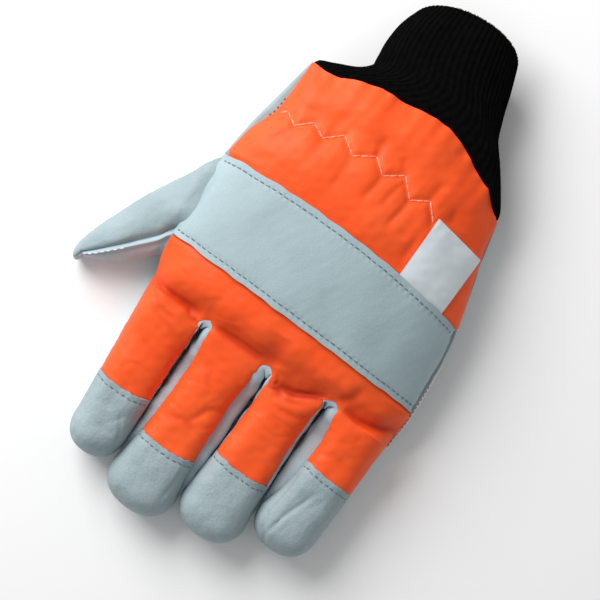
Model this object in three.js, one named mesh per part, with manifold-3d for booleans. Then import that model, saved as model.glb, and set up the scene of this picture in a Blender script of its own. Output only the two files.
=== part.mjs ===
// A left-hand chainsaw glove lying palm down: padded high-visibility back, leather palm, caps and strap,
// and a ribbed knit wrist. Lengths are in millimetres. x runs from the thumb side to the little finger,
// y from the fingertips to the wrist, z up from the surface that the palm lies on.
import * as THREE from "three";
import { mergeVertices } from "three/addons/utils/BufferGeometryUtils.js";
import Module from "manifold-3d";

// Walls and clearances
const seamGap = 0.3;
const knitGap = 1; // the knit follows the bowed opening in fewer steps
const leatherWall = 2;
const padWall = 5;
const cuffWall = 3;
const strapWall = 1.6;
const labelWall = 1;

// The hand, from the crotches of the fingers to the seam with the knit
const handLength = 121;
const handHeight = 44;
const knuckleHeight = 32;
const thumbSeamHeight = 26;
const littleSeamHeight = 18;
const wristArch = 17; // how far the wrist seam bows out over the back
const wristSlant = 3.5; // how much shorter the little finger's side is
const knuckleFade = 17; // over this length the back splits into finger rounds
const strapEase = 5; // the padding rises from the strap's edges over this length
const swellHeight = 2.2; // how far the padding stands up between its stitched lines
const quiltEase = 5; // the padding sinks this far to each side of the quilting line
const wristEase = 10; // the padding sinks to the wrist seam over this length

// Fingers
const crotchGap = 2.8;
const indexWidth = 31.3;
const middleWidth = 33;
const ringWidth = 29.4;
const littleWidth = 31.3;
const indexLength = 80.5;
const middleLength = 89.5;
const ringLength = 80;
const littleLength = 65;
const indexBack = 45;
const middleBack = 55.5;
const ringBack = 43.5;
const littleBack = 23;
const fingerHeight = 26;
const fingerSeamHeight = 12.5;
const indexLean = 6; // sideways shift at the tip
const middleLean = 2.6;
const ringLean = 2.6;
const littleLean = 0.6;
const tipLength = 15;
const fourchetteHeight = 13;
const fourchetteBulge = 0.14; // how far it stands out past the seams, as a share of half a finger
const ringLittleCrotch = 5; // that crotch sits this much nearer the wrist

// Strap, with its upper edge this far from the crotches
const strapTop = 67;
const strapWidth = 44;

// Zigzag quilting line, above the crotches
const quiltLine = 102;

// Label, its lower edge under the strap and its side by the little finger
const labelWidth = 27;
const labelLength = 31;
const labelCentre = 36; // towards the little finger
const labelCurl = 2.5;
const labelEase = 0.6; // room for the padding to swell between the label's points

// Thumb
const thumbReach = 30;
const thumbLength = 76;
const thumbRoot = 67; // its upper end, above the crotches
const thumbHeight = 25;
const thumbSeamAngle = 128;

// Knit cuff
const cuffLength = 54.5;
const cuffWidth = 64;
const cuffHeight = 31;
const cuffOffset = -13.3; // the knit tube leans to the thumb side
const rimBow = 13;
const rimSlant = 3; // the rim is this much lower on the thumb side
const cuffInset = 0.8;

// at: share of the way from wrist seam to crotches; sides: shares of half the knuckle width;
// top: share of the hand's height; seam: share of the side seams' heights.
const handTable = [
  { at: 0.0, thumbSide: 1.01, littleSide: 0.69, top: 0.8, seam: 0.9 },
  { at: 0.15, thumbSide: 1.05, littleSide: 0.76, top: 0.9, seam: 0.97 },
  { at: 0.3, thumbSide: 1.09, littleSide: 0.84, top: 0.97, seam: 1.0 },
  { at: 0.45, thumbSide: 1.11, littleSide: 0.92, top: 1.0, seam: 1.0 },
  { at: 0.6, thumbSide: 1.1, littleSide: 0.965, top: 0.99, seam: 1.0 },
  { at: 0.8, thumbSide: 1.07, littleSide: 1.0, top: 0.93, seam: 0.96 },
  { at: 0.9, thumbSide: 1.035, littleSide: 1.005, top: 0.86, seam: 0.8 },
  { at: 1.0, thumbSide: 1.0, littleSide: 1.0, top: 0.76, seam: 0.6 },
];

// at: share of a finger from its crotch to its round tip; top: from the knuckle's height to the finger's.
const fingerTable = [
  { at: 0.0, top: 0 },
  { at: 0.2, top: 0.45 },
  { at: 0.45, top: 0.8 },
  { at: 0.75, top: 1 },
  { at: 1.0, top: 1 },
];

// Outer and inner edges seen from above, as shares of the thumb's reach and length; top: share of its height.
const thumbTable = [
  { outerOut: -0.54, outerDown: -0.07, innerOut: -0.8, innerDown: 0.57, top: 1 },
  { outerOut: 0.0, outerDown: 0.0, innerOut: -0.17, innerDown: 0.69, top: 1 },
  { outerOut: 0.27, outerDown: 0.22, innerOut: 0.0, innerDown: 0.76, top: 1 },
  { outerOut: 0.54, outerDown: 0.41, innerOut: 0.21, innerDown: 0.84, top: 0.98 },
  { outerOut: 0.77, outerDown: 0.63, innerOut: 0.44, innerDown: 0.91, top: 0.92 },
  { outerOut: 0.92, outerDown: 0.8, innerOut: 0.66, innerDown: 0.97, top: 0.8 },
  { outerOut: 1.0, outerDown: 0.92, innerOut: 0.83, innerDown: 1.0, top: 0.62 },
];
const thumbTip = { out: 0.95, down: 1.03, top: 0.36 };

// at: share of the knit's length from its seam; sides and top: 1 at the hand's opening, 0 at the tube.
const cuffTable = [
  { at: 0.0, thumbSide: 1.0, littleSide: 1.0, top: 1.0 },
  { at: 0.1, thumbSide: 0.66, littleSide: 0.94, top: 0.9 },
  { at: 0.22, thumbSide: 0.22, littleSide: 0.75, top: 0.7 },
  { at: 0.34, thumbSide: -0.02, littleSide: 0.46, top: 0.42 },
  { at: 0.46, thumbSide: -0.01, littleSide: 0.22, top: 0.22 },
  { at: 0.62, thumbSide: 0.03, littleSide: 0.05, top: 0.08 },
  { at: 0.82, thumbSide: 0.0, littleSide: -0.13, top: 0.02 },
  { at: 1.0, thumbSide: -0.12, littleSide: -0.3, top: 0.0 },
];

// Fingers from the thumb's side; taper: width at the tip, as a share
const fingers = [
  { name: "index", width: indexWidth, length: indexLength, back: indexBack, lean: indexLean, taper: 0.85 },
  { name: "middle", width: middleWidth, length: middleLength, back: middleBack, lean: middleLean, taper: 0.97 },
  { name: "ring", width: ringWidth, length: ringLength, back: ringBack, lean: ringLean, taper: 1.1 },
  { name: "little", width: littleWidth, length: littleLength, back: littleBack, lean: littleLean, taper: 0.9 },
];
const knuckleWidth = fingers.reduce((sum, finger) => sum + finger.width, 3 * crotchGap);
let edge = -knuckleWidth / 2;
fingers.forEach((finger, i) => {
  finger.centre = edge + finger.width / 2;
  finger.thumbEnd = i === 3 ? ringLittleCrotch : 0;
  finger.littleEnd = i >= 2 ? ringLittleCrotch : 0;
  finger.thumbFourchette = i > 0 ? 1 : 0;
  finger.littleFourchette = i < 3 ? 1 : 0;
  edge += finger.width + crotchGap;
});

const { lerp, clamp, smoothstep } = THREE.MathUtils;
const roundness = 2.4;
const press = 0.25; // how far past the surface an unpressed palm would bulge, as a share of its depth
const knuckleTurn = 1.5; // how late the hand turns into fingers, as a power
const quiltDepth = 0.8; // share of the swell that the quilting takes away
const knuckleDepth = 0.5; // share of the swell that the knuckles take away
const fourchetteClosing = 0.85; // share of a fourchette's height and bulge that is gone at the tip
const thumbFullness = 0.9; // below 1, the thumb's section is squarer than an ellipse
const thumbSteps = 10; // places round each half of the thumb

// Rises from 0 at the sides to 1 in the middle of a section; across runs from -1 to 1
const arc = (across) => Math.sqrt(Math.max(0, 1 - Math.abs(across) ** roundness));

// Smooth reading of one column of a table
function read(table, column, at) {
  let i = 0;
  while (i < table.length - 2 && at > table[i + 1].at) i += 1;
  const [a, b] = [table[i], table[i + 1]];
  const before = table[Math.max(i - 1, 0)];
  const after = table[Math.min(i + 2, table.length - 1)];
  const step = b.at - a.at;
  const leave = ((b[column] - before[column]) / (b.at - before.at)) * step;
  const arrive = ((after[column] - a[column]) / (after.at - a.at)) * step;
  const u = clamp((at - a.at) / step, 0, 1);
  const rise = u * u * (3 - 2 * u);
  return lerp(a[column], b[column], rise) + leave * u * (1 - u) ** 2 - arrive * u * u * (1 - u);
}

// A layer is a surface inside the outer one: wall is its depth at the sides and palm, pad its depth at the top
const skin = { wall: 0, pad: 0 };
const leatherLining = { wall: leatherWall, pad: leatherWall };
const padLining = { wall: leatherWall, pad: padWall };
const lifted = (height) => ({ wall: -height, pad: -height });

// Height on a section whose seams lie at seam: over the back, or down to the surface under the palm
function sectionHeight(side, across, seam, top, layer) {
  if (side === "back") {
    const low = seam + seamGap / 2;
    return low + (top - layer.pad - low) * arc(across);
  }
  const high = seam - seamGap / 2;
  return Math.max(layer.wall, high - (high - layer.wall) * (1 + press) * arc(across));
}

const halfWidth = (finger, along) => (finger.width / 2) * lerp(1, finger.taper, along);

// A fourchette narrows towards the tip, where back and palm meet
const fourchetteShare = (along) => 1 - fourchetteClosing * along ** 3;

// Point on a finger: along runs 0 to 1 from the crotch to the round tip, and 1 to 2 over that tip
function fingerPoint(finger, across, along, side, layer) {
  const straight = Math.min(along, 1);
  const round = Math.max(along - 1, 0);
  const seamSide = (across + 1) / 2;
  const half = halfWidth(finger, straight) - layer.wall;
  const top = lerp(knuckleHeight, fingerHeight, read(fingerTable, "top", straight));
  const fourchette = lerp(finger.thumbFourchette, finger.littleFourchette, seamSide);
  const closing = round > 0 ? 0 : fourchetteShare(straight);
  const split = (fourchette * closing * fourchetteHeight) / 2;
  const seam = fingerSeamHeight + (side === "back" ? split : -split);
  const narrowing = 1 - fourchetteBulge * fourchette * closing;
  const x = across * Math.sqrt(1 - round ** 2 / 2);
  const reach = round * Math.sqrt(1 - across ** 2 / 2);
  const start = lerp(finger.thumbEnd, finger.littleEnd, seamSide);
  const y = lerp(start, tipLength - finger.length, straight) - reach * (tipLength - layer.wall);
  const z = sectionHeight(side, Math.hypot(x, reach), seam, top, layer);
  return new THREE.Vector3(finger.centre + finger.lean * straight + half * narrowing * x, y, z);
}

// How much of a row is already finger: 0 on the hand, 1 at the crotches
const knuckleShare = (height) => smoothstep(1 - height / knuckleFade, 0, 1) ** knuckleTurn;

const strapBottom = strapTop - strapWidth;

// 0 under the strap, rising to 1 a little way past its edges
const pastStrap = (height) => smoothstep(Math.max(height - strapTop, strapBottom - height, 0), 0, strapEase);

// Padding between the strap, the quilting line and the wrist seam
function swell(height) {
  const nearQuilt = Math.exp(-(((height - quiltLine) / quiltEase) ** 2));
  const nearWrist = smoothstep(height, handLength - wristEase, handLength);
  const nearKnuckle = 1 - smoothstep(height, 0, strapBottom);
  const free = (1 - quiltDepth * nearQuilt) * (1 - nearWrist) * (1 - knuckleDepth * nearKnuckle);
  return swellHeight * pastStrap(height) * free;
}

// Where the hand's two sides lie at a height above the crotches
function sidesAt(height) {
  const at = 1 - height / handLength;
  return {
    thumbX: (-knuckleWidth / 2) * read(handTable, "thumbSide", at),
    littleX: (knuckleWidth / 2) * read(handTable, "littleSide", at),
  };
}

// Point on the hand at a height above the crotches; column names a finger and the place across it
function handPoint(column, height, side, layer) {
  const at = 1 - height / handLength;
  const across = 2 * column.share - 1;
  const { thumbX, littleX } = sidesAt(height);
  const seam = lerp(thumbSeamHeight, littleSeamHeight, column.share) * read(handTable, "seam", at);
  const top = handHeight * read(handTable, "top", at);
  const tuck = side === "back" ? (strapWall + seamGap) * (1 - pastStrap(height)) : 0;
  const x = (thumbX + littleX) / 2 + ((littleX - thumbX) / 2 - tuck - layer.wall) * across;
  const raised = side === "back" ? swell(height) * arc(across) : 0;
  const z = sectionHeight(side, across, seam, top, layer) + raised;
  const knuckle = fingerPoint(column.finger, column.across, 0, side, layer);
  const bow = (side === "back" ? wristArch : wristArch / 3) * (1 - across ** 2) - wristSlant * across;
  const share = knuckleShare(height);
  const y = height + bow * (1 - at) ** 2 + knuckle.y * smoothstep(1 - height / strapBottom, 0, 1);
  return new THREE.Vector3(lerp(x, knuckle.x, share), y, lerp(z, knuckle.z, share));
}

// Columns across the hand and the fingers
const placesAcross = [-1, -0.86, -0.5, 0, 0.5, 0.86, 1];
const columns = fingers.flatMap((finger) =>
  placesAcross.map((across) => {
    const share = 0.5 + (finger.centre + (across * finger.width) / 2) / knuckleWidth;
    return { finger, across, share };
  }),
);

// At a crotch the lining turns round behind the fourchette
function atCrotch(column, height, layer) {
  const ends = { [-1]: column.finger.thumbFourchette, 1: column.finger.littleFourchette };
  return height === 0 && ends[column.across] === 1 ? layer.wall : 0;
}

function point(column, place, side, layer) {
  if (place.height > 0) return handPoint(column, place.height, side, layer);
  const p = fingerPoint(column.finger, column.across, place.along ?? 0, side, layer);
  if (!place.along) p.y += atCrotch(column, 0, layer);
  p.y += place.shift ?? 0;
  return p;
}

// Cells between neighbouring rows and columns; each holds four outer corners and the four under them
function cells(cols, places, side, outer, inner) {
  const list = [];
  for (let r = 0; r + 1 < places.length; r += 1) {
    for (let c = 0; c + 1 < cols.length; c += 1) {
      const corners = [
        [cols[c], places[r]],
        [cols[c + 1], places[r]],
        [cols[c + 1], places[r + 1]],
        [cols[c], places[r + 1]],
      ];
      list.push({
        outer: corners.map(([column, place]) => point(column, place, side, outer)),
        inner: corners.map(([column, place]) => point(column, place, side, inner)),
      });
    }
  }
  return list;
}

const keyOf = (p) => `${p.x.toFixed(3)},${p.y.toFixed(3)},${p.z.toFixed(3)}`;

// Closed wall between the outer and inner corners of a sheet of cells
function wallOf(list) {
  const triangles = [];
  const edges = new Map();
  for (const { outer, inner } of list) {
    triangles.push([outer[0], outer[1], outer[2]], [outer[0], outer[2], outer[3]]);
    triangles.push([inner[0], inner[2], inner[1]], [inner[0], inner[3], inner[2]]);
    for (let i = 0; i < 4; i += 1) {
      const j = (i + 1) % 4;
      const [from, to] = [keyOf(outer[i]), keyOf(outer[j])];
      if (from === to) continue;
      if (edges.has(`${to}|${from}`)) edges.delete(`${to}|${from}`);
      else edges.set(`${from}|${to}`, [outer[i], outer[j], inner[j], inner[i]]);
    }
  }
  for (const [a, b, c, d] of edges.values()) triangles.push([b, a, d], [b, d, c]);
  return geometryOf(triangles);
}

// Triangles to one indexed geometry that faces outwards
function geometryOf(triangles) {
  const flat = triangles.flatMap((corners) => corners.flatMap((p) => [p.x, p.y, p.z]));
  const soup = new THREE.BufferGeometry();
  soup.setAttribute("position", new THREE.Float32BufferAttribute(flat, 3));
  const merged = mergeVertices(soup, 1e-3);
  const position = merged.getAttribute("position");
  const [a, b, c] = [new THREE.Vector3(), new THREE.Vector3(), new THREE.Vector3()];
  const index = [];
  let volume = 0;
  for (let i = 0; i < merged.index.count; i += 3) {
    const ids = [0, 1, 2].map((k) => merged.index.getX(i + k));
    if (new Set(ids).size < 3) continue;
    a.fromBufferAttribute(position, ids[0]);
    b.fromBufferAttribute(position, ids[1]);
    c.fromBufferAttribute(position, ids[2]);
    volume += a.dot(b.cross(c));
    index.push(...ids);
  }
  if (volume < 0) {
    for (let i = 0; i < index.length; i += 3) [index[i], index[i + 1]] = [index[i + 1], index[i]];
  }
  merged.setIndex(index);
  return merged;
}

// Closed loft through rings of equal counts, its ends filled from their middles
function loft(rings) {
  const triangles = [];
  for (let r = 0; r + 1 < rings.length; r += 1) {
    rings[r].forEach((p, i) => {
      const j = (i + 1) % rings[r].length;
      triangles.push([p, rings[r][j], rings[r + 1][j]], [p, rings[r + 1][j], rings[r + 1][i]]);
    });
  }
  const fill = (ring, order) => {
    const middle = ring.reduce((sum, p) => sum.add(p), new THREE.Vector3()).divideScalar(ring.length);
    ring.forEach((p, i) => {
      const q = ring[(i + 1) % ring.length];
      triangles.push(order ? [middle, p, q] : [middle, q, p]);
    });
  };
  fill(rings[0], false);
  fill(rings[rings.length - 1], true);
  return geometryOf(triangles);
}

const wasm = await Module();
wasm.setup();

function solidOf(geometry) {
  return new wasm.Manifold(
    new wasm.Mesh({
      numProp: 3,
      vertProperties: Float32Array.from(geometry.getAttribute("position").array),
      triVerts: Uint32Array.from(geometry.index.array),
    }),
  );
}

function geometryOfSolid(solid) {
  const { vertProperties, triVerts, numProp } = solid.getMesh();
  const geometry = new THREE.BufferGeometry();
  const position = [];
  for (let i = 0; i < vertProperties.length; i += numProp) position.push(...vertProperties.slice(i, i + 3));
  geometry.setAttribute("position", new THREE.Float32BufferAttribute(position, 3));
  geometry.setIndex(Array.from(triVerts));
  return geometry;
}

// Rows of the hand from the wrist seam down; the strap's two edges are rows of their own
const upperRows = [1, 0.78, 0.63, 0.46, 0.26, 0.09].map((share) => lerp(strapTop, handLength, share));
const strapRows = [1, 0.75, 0.5, 0.25, 0].map((share) => lerp(strapBottom, strapTop, share));
const lowerRows = [0.82, 0.5, 0.24].map((share) => strapBottom * share);
const handPlaces = [...upperRows, ...strapRows, ...lowerRows, 0].map((height) => ({ height }));

function capAt(finger) {
  const start = (finger.thumbEnd + finger.littleEnd) / 2;
  return (finger.back + start) / (finger.length - tipLength + start);
}
const backPlaces = (finger) => [0, 0.2, 0.55, 1].map((share) => ({ height: 0, along: share * capAt(finger) }));
const capPlaces = (finger) =>
  [capAt(finger), lerp(capAt(finger), 1, 0.5), 1, 1.35, 1.65, 1.88, 2].map((along) => ({ height: 0, along }));
const columnsOf = (finger) => columns.filter((column) => column.finger === finger);

function backPanel() {
  const list = cells(columns, handPlaces, "back", skin, padLining);
  for (const finger of fingers) {
    const places = backPlaces(finger);
    places[places.length - 1].shift = seamGap / 2;
    list.push(...cells(columnsOf(finger), places, "back", skin, padLining));
  }
  return wallOf(list);
}

function palmPanel() {
  const list = cells(columns, handPlaces, "palm", skin, leatherLining);
  for (const finger of fingers) {
    const places = [...backPlaces(finger), ...capPlaces(finger).slice(1)];
    list.push(...cells(columnsOf(finger), places, "palm", skin, leatherLining));
  }
  return wallOf(list);
}

function fingerCap(finger) {
  const places = capPlaces(finger);
  places[0].shift = -seamGap / 2;
  return wallOf(cells(columnsOf(finger), places, "back", skin, leatherLining));
}

// Gusset between two fingers: down the side of one, round the crotch and down the side of the next
function fourchette(first, second) {
  const wayDown = (finger, across) => {
    const column = columnsOf(finger).find((c) => c.across === across);
    const places = [...backPlaces(finger), ...capPlaces(finger).slice(1, 3)];
    return places.map((place) =>
      [0, 0.5, 1].map((level) => {
        const corner = (layer) => {
          const low = point(column, place, "palm", layer);
          const high = point(column, place, "back", layer);
          low.z += seamGap;
          high.z -= seamGap;
          const p = low.lerp(high, level);
          const along = place.along ?? 0;
          const bulge = along ? fourchetteBulge * halfWidth(finger, along) * fourchetteShare(along) : 0;
          p.x += across * bulge * 4 * level * (1 - level);
          return p;
        };
        return { outer: corner(skin), inner: corner(leatherLining) };
      }),
    );
  };
  const path = [...wayDown(first, 1).reverse(), ...wayDown(second, -1)];
  const list = [];
  for (let r = 0; r + 1 < path.length; r += 1) {
    for (let k = 0; k < 2; k += 1) {
      const corners = [path[r][k], path[r][k + 1], path[r + 1][k + 1], path[r + 1][k]];
      list.push({ outer: corners.map((c) => c.outer), inner: corners.map((c) => c.inner) });
    }
  }
  return wallOf(list);
}

function knuckleStrap() {
  const places = strapRows.map((height) => ({ height }));
  return wallOf(cells(columns, places, "back", lifted(seamGap + strapWall), lifted(seamGap)));
}

// Tag lying on the padding, its free end curling up
function labelSheet() {
  const places = [0, 0.25, 0.5, 0.75, 1];
  const sheet = (lift) =>
    places.map((up) =>
      places.map((side) => {
        const height = strapTop + seamGap + up * labelLength;
        const { thumbX, littleX } = sidesAt(height);
        const x = labelCentre + (side - 0.5) * labelWidth;
        const column = { finger: fingers[3], across: 0, share: (x - thumbX) / (littleX - thumbX) };
        const p = handPoint(column, height, "back", skin);
        p.z += lift + labelCurl * up ** 2;
        return p;
      }),
    );
  const clearance = 2 * seamGap + labelEase;
  const [low, high] = [sheet(clearance), sheet(clearance + labelWall)];
  const list = [];
  for (let r = 0; r + 1 < places.length; r += 1) {
    for (let c = 0; c + 1 < places.length; c += 1) {
      const pick = (s) => [s[r][c], s[r][c + 1], s[r + 1][c + 1], s[r + 1][c]];
      list.push({ outer: pick(high), inner: pick(low) });
    }
  }
  return wallOf(list);
}

// Place seen from above, at shares of the thumb's reach from the hand and of its length from its root
function thumbPlace(out, down) {
  return new THREE.Vector2(sidesAt(thumbRoot).thumbX - out * thumbReach, thumbRoot - down * thumbLength);
}

// One ring of the thumb at a row of its table; grow moves it out, or in when negative
function thumbRing(row, angles, grow) {
  const outer = thumbPlace(row.outerOut, row.outerDown);
  const inner = thumbPlace(row.innerOut, row.innerDown);
  const middle = outer.clone().add(inner).divideScalar(2);
  const half = outer.clone().sub(middle);
  half.setLength(half.length() + grow);
  const top = row.top * thumbHeight + grow;
  const low = seamGap - grow;
  return angles.map((angle) => {
    const [c, s] = [Math.cos(angle), Math.sin(angle)];
    const swellUp = Math.sign(s) * Math.abs(s) ** thumbFullness * (s < 0 ? 1 + press : 1);
    const z = Math.max(low, (top + low) / 2 + ((top - low) / 2) * swellUp);
    return new THREE.Vector3(middle.x + half.x * c, middle.y + half.y * c, z);
  });
}

// The point of the thumb, moved on from the last ring, or back when grow is negative
function thumbTipPoint(grow) {
  const last = thumbTable[thumbTable.length - 1];
  const ringMiddle = thumbPlace((last.outerOut + last.innerOut) / 2, (last.outerDown + last.innerDown) / 2);
  const tip = thumbPlace(thumbTip.out, thumbTip.down);
  tip.add(tip.clone().sub(ringMiddle).setLength(grow));
  return new THREE.Vector3(tip.x, tip.y, thumbTip.top * thumbHeight);
}

const circle = 2 * thumbSteps;
const fullCircle = Array.from({ length: circle }, (_, i) => (i / circle) * 2 * Math.PI);

function thumbBody(grow) {
  const rings = thumbTable.map((row) => thumbRing(row, fullCircle, grow));
  rings.push(fullCircle.map(() => thumbTipPoint(grow)));
  return loft(rings);
}

// The hand's own outside, filled, grown by a clearance
function handBody(grow) {
  const heights = [handLength, ...handPlaces.slice(1, -1).map((place) => place.height), 0];
  const layer = lifted(grow);
  const rings = heights.map((height) => {
    const over = columns.map((column) => handPoint(column, height, "back", layer));
    const under = columns.map((column) => handPoint(column, height, "palm", layer));
    return [...over, ...under.reverse()];
  });
  return loft(rings);
}

// Half of the thumb's wall, from one seam to the other
function thumbPanel(startAngle) {
  const start = THREE.MathUtils.degToRad(startAngle);
  const angles = Array.from({ length: thumbSteps + 1 }, (_, i) => start + (i / thumbSteps) * Math.PI);
  const facing = start + Math.PI / 2;
  const apart = (row) => {
    const out = thumbPlace(row.outerOut, row.outerDown).sub(thumbPlace(row.innerOut, row.innerDown));
    out.setLength(Math.cos(facing));
    return new THREE.Vector3(out.x, out.y, Math.sin(facing)).multiplyScalar(seamGap / 2);
  };
  const sheet = (grow) => {
    const rings = thumbTable.map((row) => thumbRing(row, angles, grow).map((p) => p.add(apart(row))));
    const last = apart(thumbTable[thumbTable.length - 1]);
    return [...rings, angles.map(() => thumbTipPoint(grow).add(last))];
  };
  const [outer, inner] = [sheet(0), sheet(-leatherWall)];
  const list = [];
  for (let r = 0; r + 1 < outer.length; r += 1) {
    for (let c = 0; c < thumbSteps; c += 1) {
      const pick = (s) => [s[r][c], s[r][c + 1], s[r + 1][c + 1], s[r + 1][c]];
      list.push({ outer: pick(outer), inner: pick(inner) });
    }
  }
  return wallOf(list);
}

// Ribbed wrist: from the hand's opening to a narrow tube
function knitCuff() {
  const across = [-1, -0.97, -0.88, -0.72, -0.52, -0.32, -0.11, 0.11, 0.32, 0.52, 0.72, 0.88, 0.97, 1];
  const ring = (row, layer) => {
    const around = (side, list) =>
      list.map((f) => {
        const column = { finger: fingers[0], across: 0, share: (f + 1) / 2 };
        const base = handPoint(column, handLength, side, lifted(-cuffInset));
        const opening = {
          thumb: handPoint({ ...column, share: 0 }, handLength, side, lifted(-cuffInset)).x,
          little: handPoint({ ...column, share: 1 }, handLength, side, lifted(-cuffInset)).x,
        };
        const left = lerp(cuffOffset - cuffWidth / 2, opening.thumb, row.thumbSide);
        const right = lerp(cuffOffset + cuffWidth / 2, opening.little, row.littleSide);
        const openingSeam = lerp(thumbSeamHeight, littleSeamHeight, (f + 1) / 2) * handTable[0].seam;
        const seam = lerp(cuffHeight / 2, openingSeam, row.top);
        const top = lerp(cuffHeight, handHeight * handTable[0].top - cuffInset, row.top);
        const half = (right - left) / 2 - layer;
        const bulge = arc(f);
        const z =
          side === "back"
            ? seam + (top - layer - seam) * bulge
            : Math.max(layer, seam - (seam - layer) * (1 + press) * bulge);
        const rim = handLength + cuffLength + (side === "back" ? rimBow : -rimBow / 2) * bulge + rimSlant * f;
        return new THREE.Vector3((left + right) / 2 + half * f, lerp(base.y + knitGap, rim, row.at), z);
      });
    return [...around("back", across), ...around("palm", across.slice(1, -1)).reverse()];
  };
  const [outer, inner] = [0, cuffWall].map((layer) => cuffTable.map((row) => ring(row, layer)));
  const list = [];
  for (let r = 0; r + 1 < outer.length; r += 1) {
    for (let c = 0; c < outer[r].length; c += 1) {
      const d = (c + 1) % outer[r].length;
      const pick = (s) => [s[r][c], s[r][d], s[r + 1][d], s[r + 1][c]];
      list.push({ outer: pick(outer), inner: pick(inner) });
    }
  }
  return wallOf(list);
}

// Materials
const orangeFabric = () => new THREE.MeshStandardMaterial({ color: 0xff6a30, roughness: 0.55, metalness: 0 });
const greyLeather = () => new THREE.MeshStandardMaterial({ color: 0xa9babf, roughness: 0.7, metalness: 0 });
const blackKnit = () => new THREE.MeshStandardMaterial({ color: 0x0e0e0f, roughness: 0.95, metalness: 0 });
const wovenLabel = () => new THREE.MeshStandardMaterial({ color: 0xd5dce0, roughness: 0.6, metalness: 0 });

const hollowThumb = solidOf(thumbBody(-leatherWall));
const grownHand = solidOf(handBody(seamGap));
const palm = geometryOfSolid(solidOf(palmPanel()).subtract(hollowThumb));
const thumbBack = geometryOfSolid(solidOf(thumbPanel(thumbSeamAngle - 180)).subtract(grownHand));
const thumbFront = geometryOfSolid(solidOf(thumbPanel(thumbSeamAngle)).subtract(grownHand));

const glove = new THREE.Group();
function add(name, geometry, material) {
  const mesh = new THREE.Mesh(geometry, material);
  mesh.name = name;
  glove.add(mesh);
}

add("back_panel", backPanel(), orangeFabric());
add("knuckle_strap", knuckleStrap(), greyLeather());
for (const finger of fingers) add(`cap_${finger.name}`, fingerCap(finger), greyLeather());
add("palm", palm, greyLeather());
fingers.slice(0, 3).forEach((finger, i) => {
  const next = fingers[i + 1];
  add(`fourchette_${finger.name}_${next.name}`, fourchette(finger, next), greyLeather());
});
add("thumb_back", thumbBack, greyLeather());
add("thumb_front", thumbFront, greyLeather());
add("knit_cuff", knitCuff(), blackKnit());
add("label", labelSheet(), wovenLabel());

// The origin is the middle of the glove's footprint, on the surface that it lies on
const box = new THREE.Box3().setFromObject(glove);
glove.position.set(-(box.min.x + box.max.x) / 2, -(box.min.y + box.max.y) / 2, -box.min.z);

export default glove;
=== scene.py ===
import bpy
import numpy as np
from mathutils import Matrix


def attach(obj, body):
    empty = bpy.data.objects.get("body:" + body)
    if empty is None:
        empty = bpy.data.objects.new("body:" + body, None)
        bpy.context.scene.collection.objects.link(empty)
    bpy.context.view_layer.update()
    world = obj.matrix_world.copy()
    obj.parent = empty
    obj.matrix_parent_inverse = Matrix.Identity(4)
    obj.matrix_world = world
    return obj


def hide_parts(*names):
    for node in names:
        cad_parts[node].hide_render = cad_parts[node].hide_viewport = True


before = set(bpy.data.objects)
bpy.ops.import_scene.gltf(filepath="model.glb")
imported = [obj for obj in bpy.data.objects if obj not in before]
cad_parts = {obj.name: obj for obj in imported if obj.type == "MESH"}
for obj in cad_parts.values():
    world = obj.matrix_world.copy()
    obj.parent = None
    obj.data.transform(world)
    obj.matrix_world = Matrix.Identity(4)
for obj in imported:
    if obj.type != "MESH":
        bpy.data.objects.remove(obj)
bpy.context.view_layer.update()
print("frame loaded")

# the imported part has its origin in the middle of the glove's footprint
placing = {"shift": np.array([18.5555, -49.7655, 0.0]), "toMetres": 0.001}
# one pixel of the photograph, turned upright, and the pixel that lies at the glove's own zero
photo = {"pixel": 0.46, "right": 433.0, "down": 137.0}


def mix(a, b, t):
    # a at t = 0, b at t = 1, straight between them
    return a + (b - a) * t


def smooth(x, low=0.0, high=1.0):
    # 0 below low, 1 above high, with level ends: 3 t squared minus 2 t cubed
    t = np.clip((x - low) / (high - low), 0.0, 1.0)
    return t * t * (3 - 2 * t)


def readTable(table, column, at):
    # smooth curve through a table's rows; each row's slope comes from its two neighbours
    ats = table[:, 0]
    values = table[:, column]
    i = np.clip(np.searchsorted(ats, at, side="left") - 1, 0, len(ats) - 2)
    before = np.maximum(i - 1, 0)
    after = np.minimum(i + 2, len(ats) - 1)
    step = ats[i + 1] - ats[i]
    leave = (values[i + 1] - values[before]) / (ats[i + 1] - ats[before]) * step
    arrive = (values[after] - values[i]) / (ats[after] - ats[i]) * step
    t = np.clip((at - ats[i]) / step, 0.0, 1.0)
    rise = t * t * (3 - 2 * t)
    return mix(values[i], values[i + 1], rise) + leave * t * (1 - t) ** 2 - arrive * t * t * (1 - t)


def ripple(x, y, seed, shortest, longest, count=14):
    # sum of plane waves with random direction, length and phase, scaled to about one
    rng = np.random.default_rng(seed)
    angle = rng.uniform(0, 2 * np.pi, count)
    length = rng.uniform(shortest, longest, count)
    phase = rng.uniform(0, 2 * np.pi, count)
    total = np.zeros(np.shape(x))
    for a, span, start in zip(angle, length, phase):
        total = total + np.cos(2 * np.pi * (np.cos(a) * x + np.sin(a) * y) / span + start)
    return total / np.sqrt(count / 2)


def rippled(x, y, seed, look):
    # a ripple times its height; the look gives the height, the shortest and the longest wave in millimetres
    height, shortest, longest = look
    return height * ripple(x, y, seed, shortest, longest)


def fromPhoto(pixels):
    # pixels of the upright photograph to the glove's x and y
    pixels = np.asarray(pixels, float)
    x = (pixels[..., 0] - photo["right"]) * photo["pixel"]
    y = (photo["down"] - pixels[..., 1]) * photo["pixel"]
    return np.stack([x, y], axis=-1)


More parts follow.
